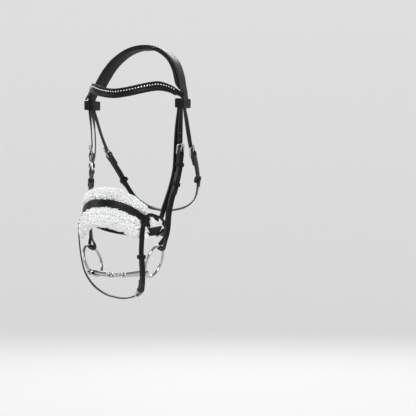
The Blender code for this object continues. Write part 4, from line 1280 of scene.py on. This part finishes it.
def make_noseband():
    half = NOSE.length / 2.0
    end = half - 1.0
    profile = [(s, 6.0 + 2.6 * max(0.0, abs(s - half) / half - 0.72) / 0.28)
               for s in spaced(half - end, half + end, 7.5)]
    rail = Rail(NOSE, profile)

    def width(share):
        from_end = min(share, 1.0 - share) * rail.length / 7.5
        return (NOSE_WIDTH - 2.0) * min(1.0, 0.1 + 0.33 * from_end, 0.7 + 0.028 * from_end)

    edge = NOSE_WIDTH / 2.0 - 3.0
    strap_piece("nose_strap", rail, width, thick=3.0,
                edges=[(34.0, rail.length - 34.0, way * edge) for way in (-1, 1)])
    middle = FLEECE_LINE.length / 2.0
    reach = middle - 22.0
    backing = Rail(FLEECE_LINE, run(middle - reach, middle + reach, 0.0))
    shape = strap_shape(backing, NOSE_WIDTH - 1.0, 3.4)
    pad = add_piece("nose_backing_pad", shape, "nose_backing", [SOFT, SOFT])
    upper_end = middle - 16.0
    lower_end = middle - 3.0
    gap = NOSE_WIDTH / 2.0 + 0.8
    upper = Roll(FLEECE_LINE, (middle - upper_end, middle + upper_end),
                 (-gap - FLEECE_UPPER, -gap - 8.0), (FLEECE_UPPER, 8.0),
                 (FLEECE_DEPTH, FLEECE_END_DEPTH), 2.6)
    lower = Roll(FLEECE_LINE, (middle - lower_end, middle + lower_end),
                 (gap + FLEECE_LOWER, gap + FLEECE_LOWER), (FLEECE_LOWER, FLEECE_LOWER),
                 (FLEECE_DEPTH, FLEECE_END_DEPTH), 2.6)
    ends = [Vector((77.5 * side, -129.0, -378.0)) * MM for side in (1, -1)]
    fleece("upper_fleece_wool", "upper_fleece", upper, 3900, 11, 5.2, 1.75)
    fleece("lower_fleece_wool", "lower_fleece", lower, 3650, 23, 5.8, 2.0, ends)


def make_side_straps(side):
    rail = Rail(SIDE, run(1.5, SIDE.length - 1.0, 0.8, 5.0), side)
    strap_piece(side_name(side) + "_side_strap", rail, lambda share: 8.0 + 5.0 * share, thick=2.6,
                edges=[(2.0, rail.length - 2.0, 0.0)])


JAW_PAD_HALF_LENGTH = 62.0
JAW_PAD_WIDTH = 24.0


def make_jaw():
    bar = 84.0
    rail = Rail(JAW, buckle_strap_profile(bar, 5.0), face=-1)
    left = strap_piece("left_jaw_strap", rail, STRAP_WIDTH, edges=buckle_edges(rail, bar, -1.0))
    fasten("jaw", JAW, bar, -1.0, left, "right_jaw_strap",
           billet_profile(bar, JAW.length - 5.0, bar - 48.0), bar - 22.0, face=-1)
    middle = JAW.length / 2.0
    shape = Shape()
    rings = []
    for offset in spaced(-JAW_PAD_HALF_LENGTH, JAW_PAD_HALF_LENGTH, 2.4):
        close = min(1.0, (JAW_PAD_HALF_LENGTH - abs(offset)) / 10.0)
        span = JAW_PAD_WIDTH / 2.0 * (0.6 + 0.4 * math.sin(0.5 * math.pi * close))
        rings.append(pad_ring(JAW, middle + offset, span,
                              lambda swell, c: -8.3 + 2.5 * swell * (0.6 + 0.4 * close),
                              0.75, 0.7, 24))
    shape.tube(rings)
    pad = add_piece("jaw_padding", shape, "jaw_pad", [SOFT, THREAD])


def make_flash():
    for side in (1, -1):
        sleeve(side_name(side) + "_flash_loop", NOSE, NOSE.length - 27.0, NOSE_WIDTH / 2.0 + 0.5,
               (3.9, 9.0), side, length=10.0, thick=1.5)
    bar = 152.0
    rail = Rail(FLASH, buckle_strap_profile(bar, 1.0, 7.5), face=-1)
    left = strap_piece("left_flash_strap", rail, FLASH_WIDTH,
                       edges=buckle_edges(rail, bar, -1.0, FLASH_WIDTH))
    billet_rail = fasten("flash", FLASH, bar, -1.0, left, "right_flash_strap",
                         billet_profile(bar, FLASH.length - 1.0, bar - 92.0, 7.5), 68.0,
                         face=-1, width=FLASH_WIDTH)
    for side, node, item in ((1, "left_flash_strap", rail), (-1, "right_flash_strap", billet_rail)):
        nearest = min if side == 1 else max
        level = nearest((item.spots[0], item.spots[-1]), key=lambda spot: spot.x).y
        top = Rail(FLASH_TOP, run(0.0, FLASH_TOP.length, level, 2.0), side)
        add_piece(node + "_top", strap_shape(top, FLASH_WIDTH), node, STRAP_LOOKS)


# The bit

TANGENT = ring_point(BOSS_ON_RING_DEG + 5.0) - ring_point(BOSS_ON_RING_DEG - 5.0)
HINGE = Vector((0.0, TANGENT.y, TANGENT.z)).normalized()
DROOP = HINGE.cross(OUT).normalized()
if DROOP.z > 0:
    DROOP = -DROOP
INWARD = (-OUT * math.cos(math.radians(DROOP_DEG)) + DROOP * math.sin(math.radians(DROOP_DEG)))
CANNON_LENGTH = (BOSS.x - LINK_HALF) / math.cos(math.radians(DROOP_DEG))
LINK_JOINT = BOSS + INWARD * CANNON_LENGTH


def circle_points(centre, first, second, radius, count):
    return [(centre + first * (radius * c) + second * (radius * s)) * MM
            for c, s in circle(count)]


def make_ring(side):
    name = side_name(side) + "_bit_ring"
    centre = Vector((RING_CENTRE.x * side, RING_CENTRE.y, RING_CENTRE.z))
    normal = Vector((RING_NORMAL.x * side, RING_NORMAL.y, RING_NORMAL.z))
    first = Vector((0.0, 1.0, 0.0))
    second = normal.cross(first).normalized()
    shape = Shape()
    path = circle_points(centre, first, second, RING_RADIUS, 144)
    shape.tube(pipe_rings(path, RING_WIRE, 28, closed=True, up=normal), closed=True)
    add_piece(name + "_polished", shape, name, [STEEL])


def make_cannon(side):
    """Boss with the ring's bore, a waisted bar, and an eye in the plane of the fold."""
    name = side_name(side) + "_cannon"
    inward = Vector((INWARD.x * side, INWARD.y, INWARD.z))
    origin = Vector((BOSS.x * side, BOSS.y, BOSS.z))
    across = HINGE.cross(inward).normalized()
    eye_centre = CANNON_LENGTH - EYE_RADIUS / 2.0
    bar_end = eye_centre - EYE_RADIUS + 0.8

    profile = [(BOSS_RADIUS * math.sin(math.radians(a)), -BOSS_RADIUS * math.cos(math.radians(a)))
               for a in (3, 12, 24, 36, 48, 60, 72, 84, 96, 108, 118, 126)]
    start_r, start_z = profile[-1]
    stop_z = bar_end - 3.0
    for i in range(1, 19):
        share = i / 18
        swell = (CANNON_END_RADIUS - CANNON_WAIST_RADIUS) * (1.0 - share) ** 1.6
        radius = CANNON_WAIST_RADIUS + swell
        if share < 0.25:
            blend = (share / 0.25) ** 0.7
            radius = start_r * (1.0 - blend) + radius * blend
        profile.append((radius, start_z + (stop_z - start_z) * share))
    for a in (25, 50, 70, 85):
        angle = math.radians(a)
        profile.append((1.2 + 3.8 * math.cos(angle), stop_z + 3.6 * math.sin(angle)))
    shape = Shape()
    shape.tube([circle_points(origin + inward * z, across, HINGE, r, 48) for r, z in profile])
    item = add_piece(name + "_polished", shape, name, [STEEL], METAL_SHARP_DEG)
    eye = Shape()
    path = circle_points(origin + inward * eye_centre, inward, across, EYE_RADIUS, 64)
    eye.tube(pipe_rings(path, EYE_WIRE, 22, closed=True, up=HINGE), closed=True)
    boolean(item, eye, "UNION", METAL_SHARP_DEG)
    bore = Shape()
    flare = [(BOSS_BORE + 2.4, -9.0), (BOSS_BORE + 0.5, -6.6), (BOSS_BORE, -5.0),
             (BOSS_BORE - 0.5, 0.0), (BOSS_BORE, 5.0), (BOSS_BORE + 0.5, 6.6),
             (BOSS_BORE + 2.4, 9.0)]
    bore.tube([circle_points(origin + HINGE * z, across, inward, r + 0.3, 48) for r, z in flare])
    boolean(item, bore, "DIFFERENCE", METAL_SHARP_DEG)


def make_link():
    """Centre link: a rounded lozenge with an eye at each end."""
    middle = Vector((0.0, LINK_JOINT.y, LINK_JOINT.z))
    side_way = OUT.cross(HINGE)
    half = LINK_HALF - 1.5 * EYE_RADIUS + 1.2
    rings = []
    for k in range(1, 24):
        angle = math.pi * k / 24
        x = -half * math.cos(angle)
        fat = math.sin(angle) ** 0.8
        rings.append([(middle + OUT * x + HINGE * (5.2 * fat * c) + side_way * (4.0 * fat * s)) * MM
                      for c, s in circle(40)])
    shape = Shape()
    shape.tube(rings)
    item = add_piece("centre_link_polished", shape, "centre_link", [STEEL],
                     METAL_SHARP_DEG)
    for way in (1.0, -1.0):
        centre = middle + OUT * (way * (LINK_HALF - EYE_RADIUS / 2.0))
        eye = Shape()
        path = circle_points(centre, OUT, HINGE, EYE_RADIUS, 64)
        eye.tube(pipe_rings(path, EYE_WIRE, 22, closed=True, up=side_way), closed=True)
        boolean(item, eye, "UNION", METAL_SHARP_DEG)


make_headpiece()
make_browband()
make_throat()
make_hangers()
make_noseband()
make_jaw()
make_flash()
make_link()
for each_side in (1, -1):
    make_browband_loop(each_side)
    make_cheek(each_side)
    make_side_straps(each_side)
    make_ring(each_side)
    make_cannon(each_side)


# Stage, light and camera

STAGE_GLOW = 0.42


def stage_material():
    material, _, shader = node_material("stage_paper", (0.5, 0.5, 0.5), 0.9)
    shader.inputs["Specular IOR Level"].default_value = 0.1
    shader.inputs["Emission Color"].default_value = (1.0, 1.0, 1.0, 1.0)
    shader.inputs["Emission Strength"].default_value = STAGE_GLOW
    return material


def make_stage():
    """A pale round floor whose edge curves up into a wall."""
    floor = -0.9
    flat, curve, top = 5.2, 2.0, 3.2
    profile = [(0.02, floor), (2.0, floor), (flat, floor)]
    for k in range(1, 13):
        angle = math.radians(7.5 * k)
        profile.append((flat + curve * math.sin(angle), floor + curve * (1.0 - math.cos(angle))))
    profile.append((flat + curve, top))
    shape = Shape()
    shape.tube([[Vector((r * c, r * s, z)) for c, s in circle(96)] for r, z in profile],
               caps=False)
    shape.face(range(96))
    new_object("stage_floor", make_mesh("stage_floor", shape, [stage_material()], 60.0))


def area_light(name, place, target, size, power):
    lamp = bpy.data.lights.new(name, "AREA")
    lamp.shape = "RECTANGLE"
    lamp.size, lamp.size_y = size
    lamp.energy = power
    item = new_object(name, lamp)
    item.location = place
    item.rotation_mode = "QUATERNION"
    item.rotation_quaternion = (Vector(target) - Vector(place)).to_track_quat("-Z", "Y")


def make_lights():
    world = bpy.data.worlds.new("studio")
    world.use_nodes = True
    world.node_tree.nodes["Background"].inputs["Color"].default_value = (1.0, 1.0, 1.0, 1.0)
    world.node_tree.nodes["Background"].inputs["Strength"].default_value = 0.28
    bpy.context.scene.world = world
    bpy.context.scene.view_settings.view_transform = "Standard"
    middle = (0.0, -0.05, -0.28)
    area_light("key_softbox", (2.1, -2.0, 1.7), middle, (1.6, 1.2), 80.0)
    area_light("side_softbox", (-2.3, -1.6, 0.9), middle, (0.9, 1.8), 30.0)
    area_light("back_softbox", (-0.8, 2.6, 1.4), middle, (1.6, 1.2), 40.0)


LOOK_AT = Vector((0.122, 0.060, -0.348))
AWAY = Vector((0.438, -0.899, 0.0))


def make_camera():
    data = bpy.data.cameras.new("photo_angle")
    data.sensor_width = 36.0
    data.lens = 157.0
    item = new_object("photo_angle", data)
    item.location = LOOK_AT + AWAY * 4.0
    item.rotation_mode = "QUATERNION"
    item.rotation_quaternion = (-AWAY).to_track_quat("-Z", "Y")
    bpy.context.scene.camera = item


make_stage()
make_lights()
make_camera()
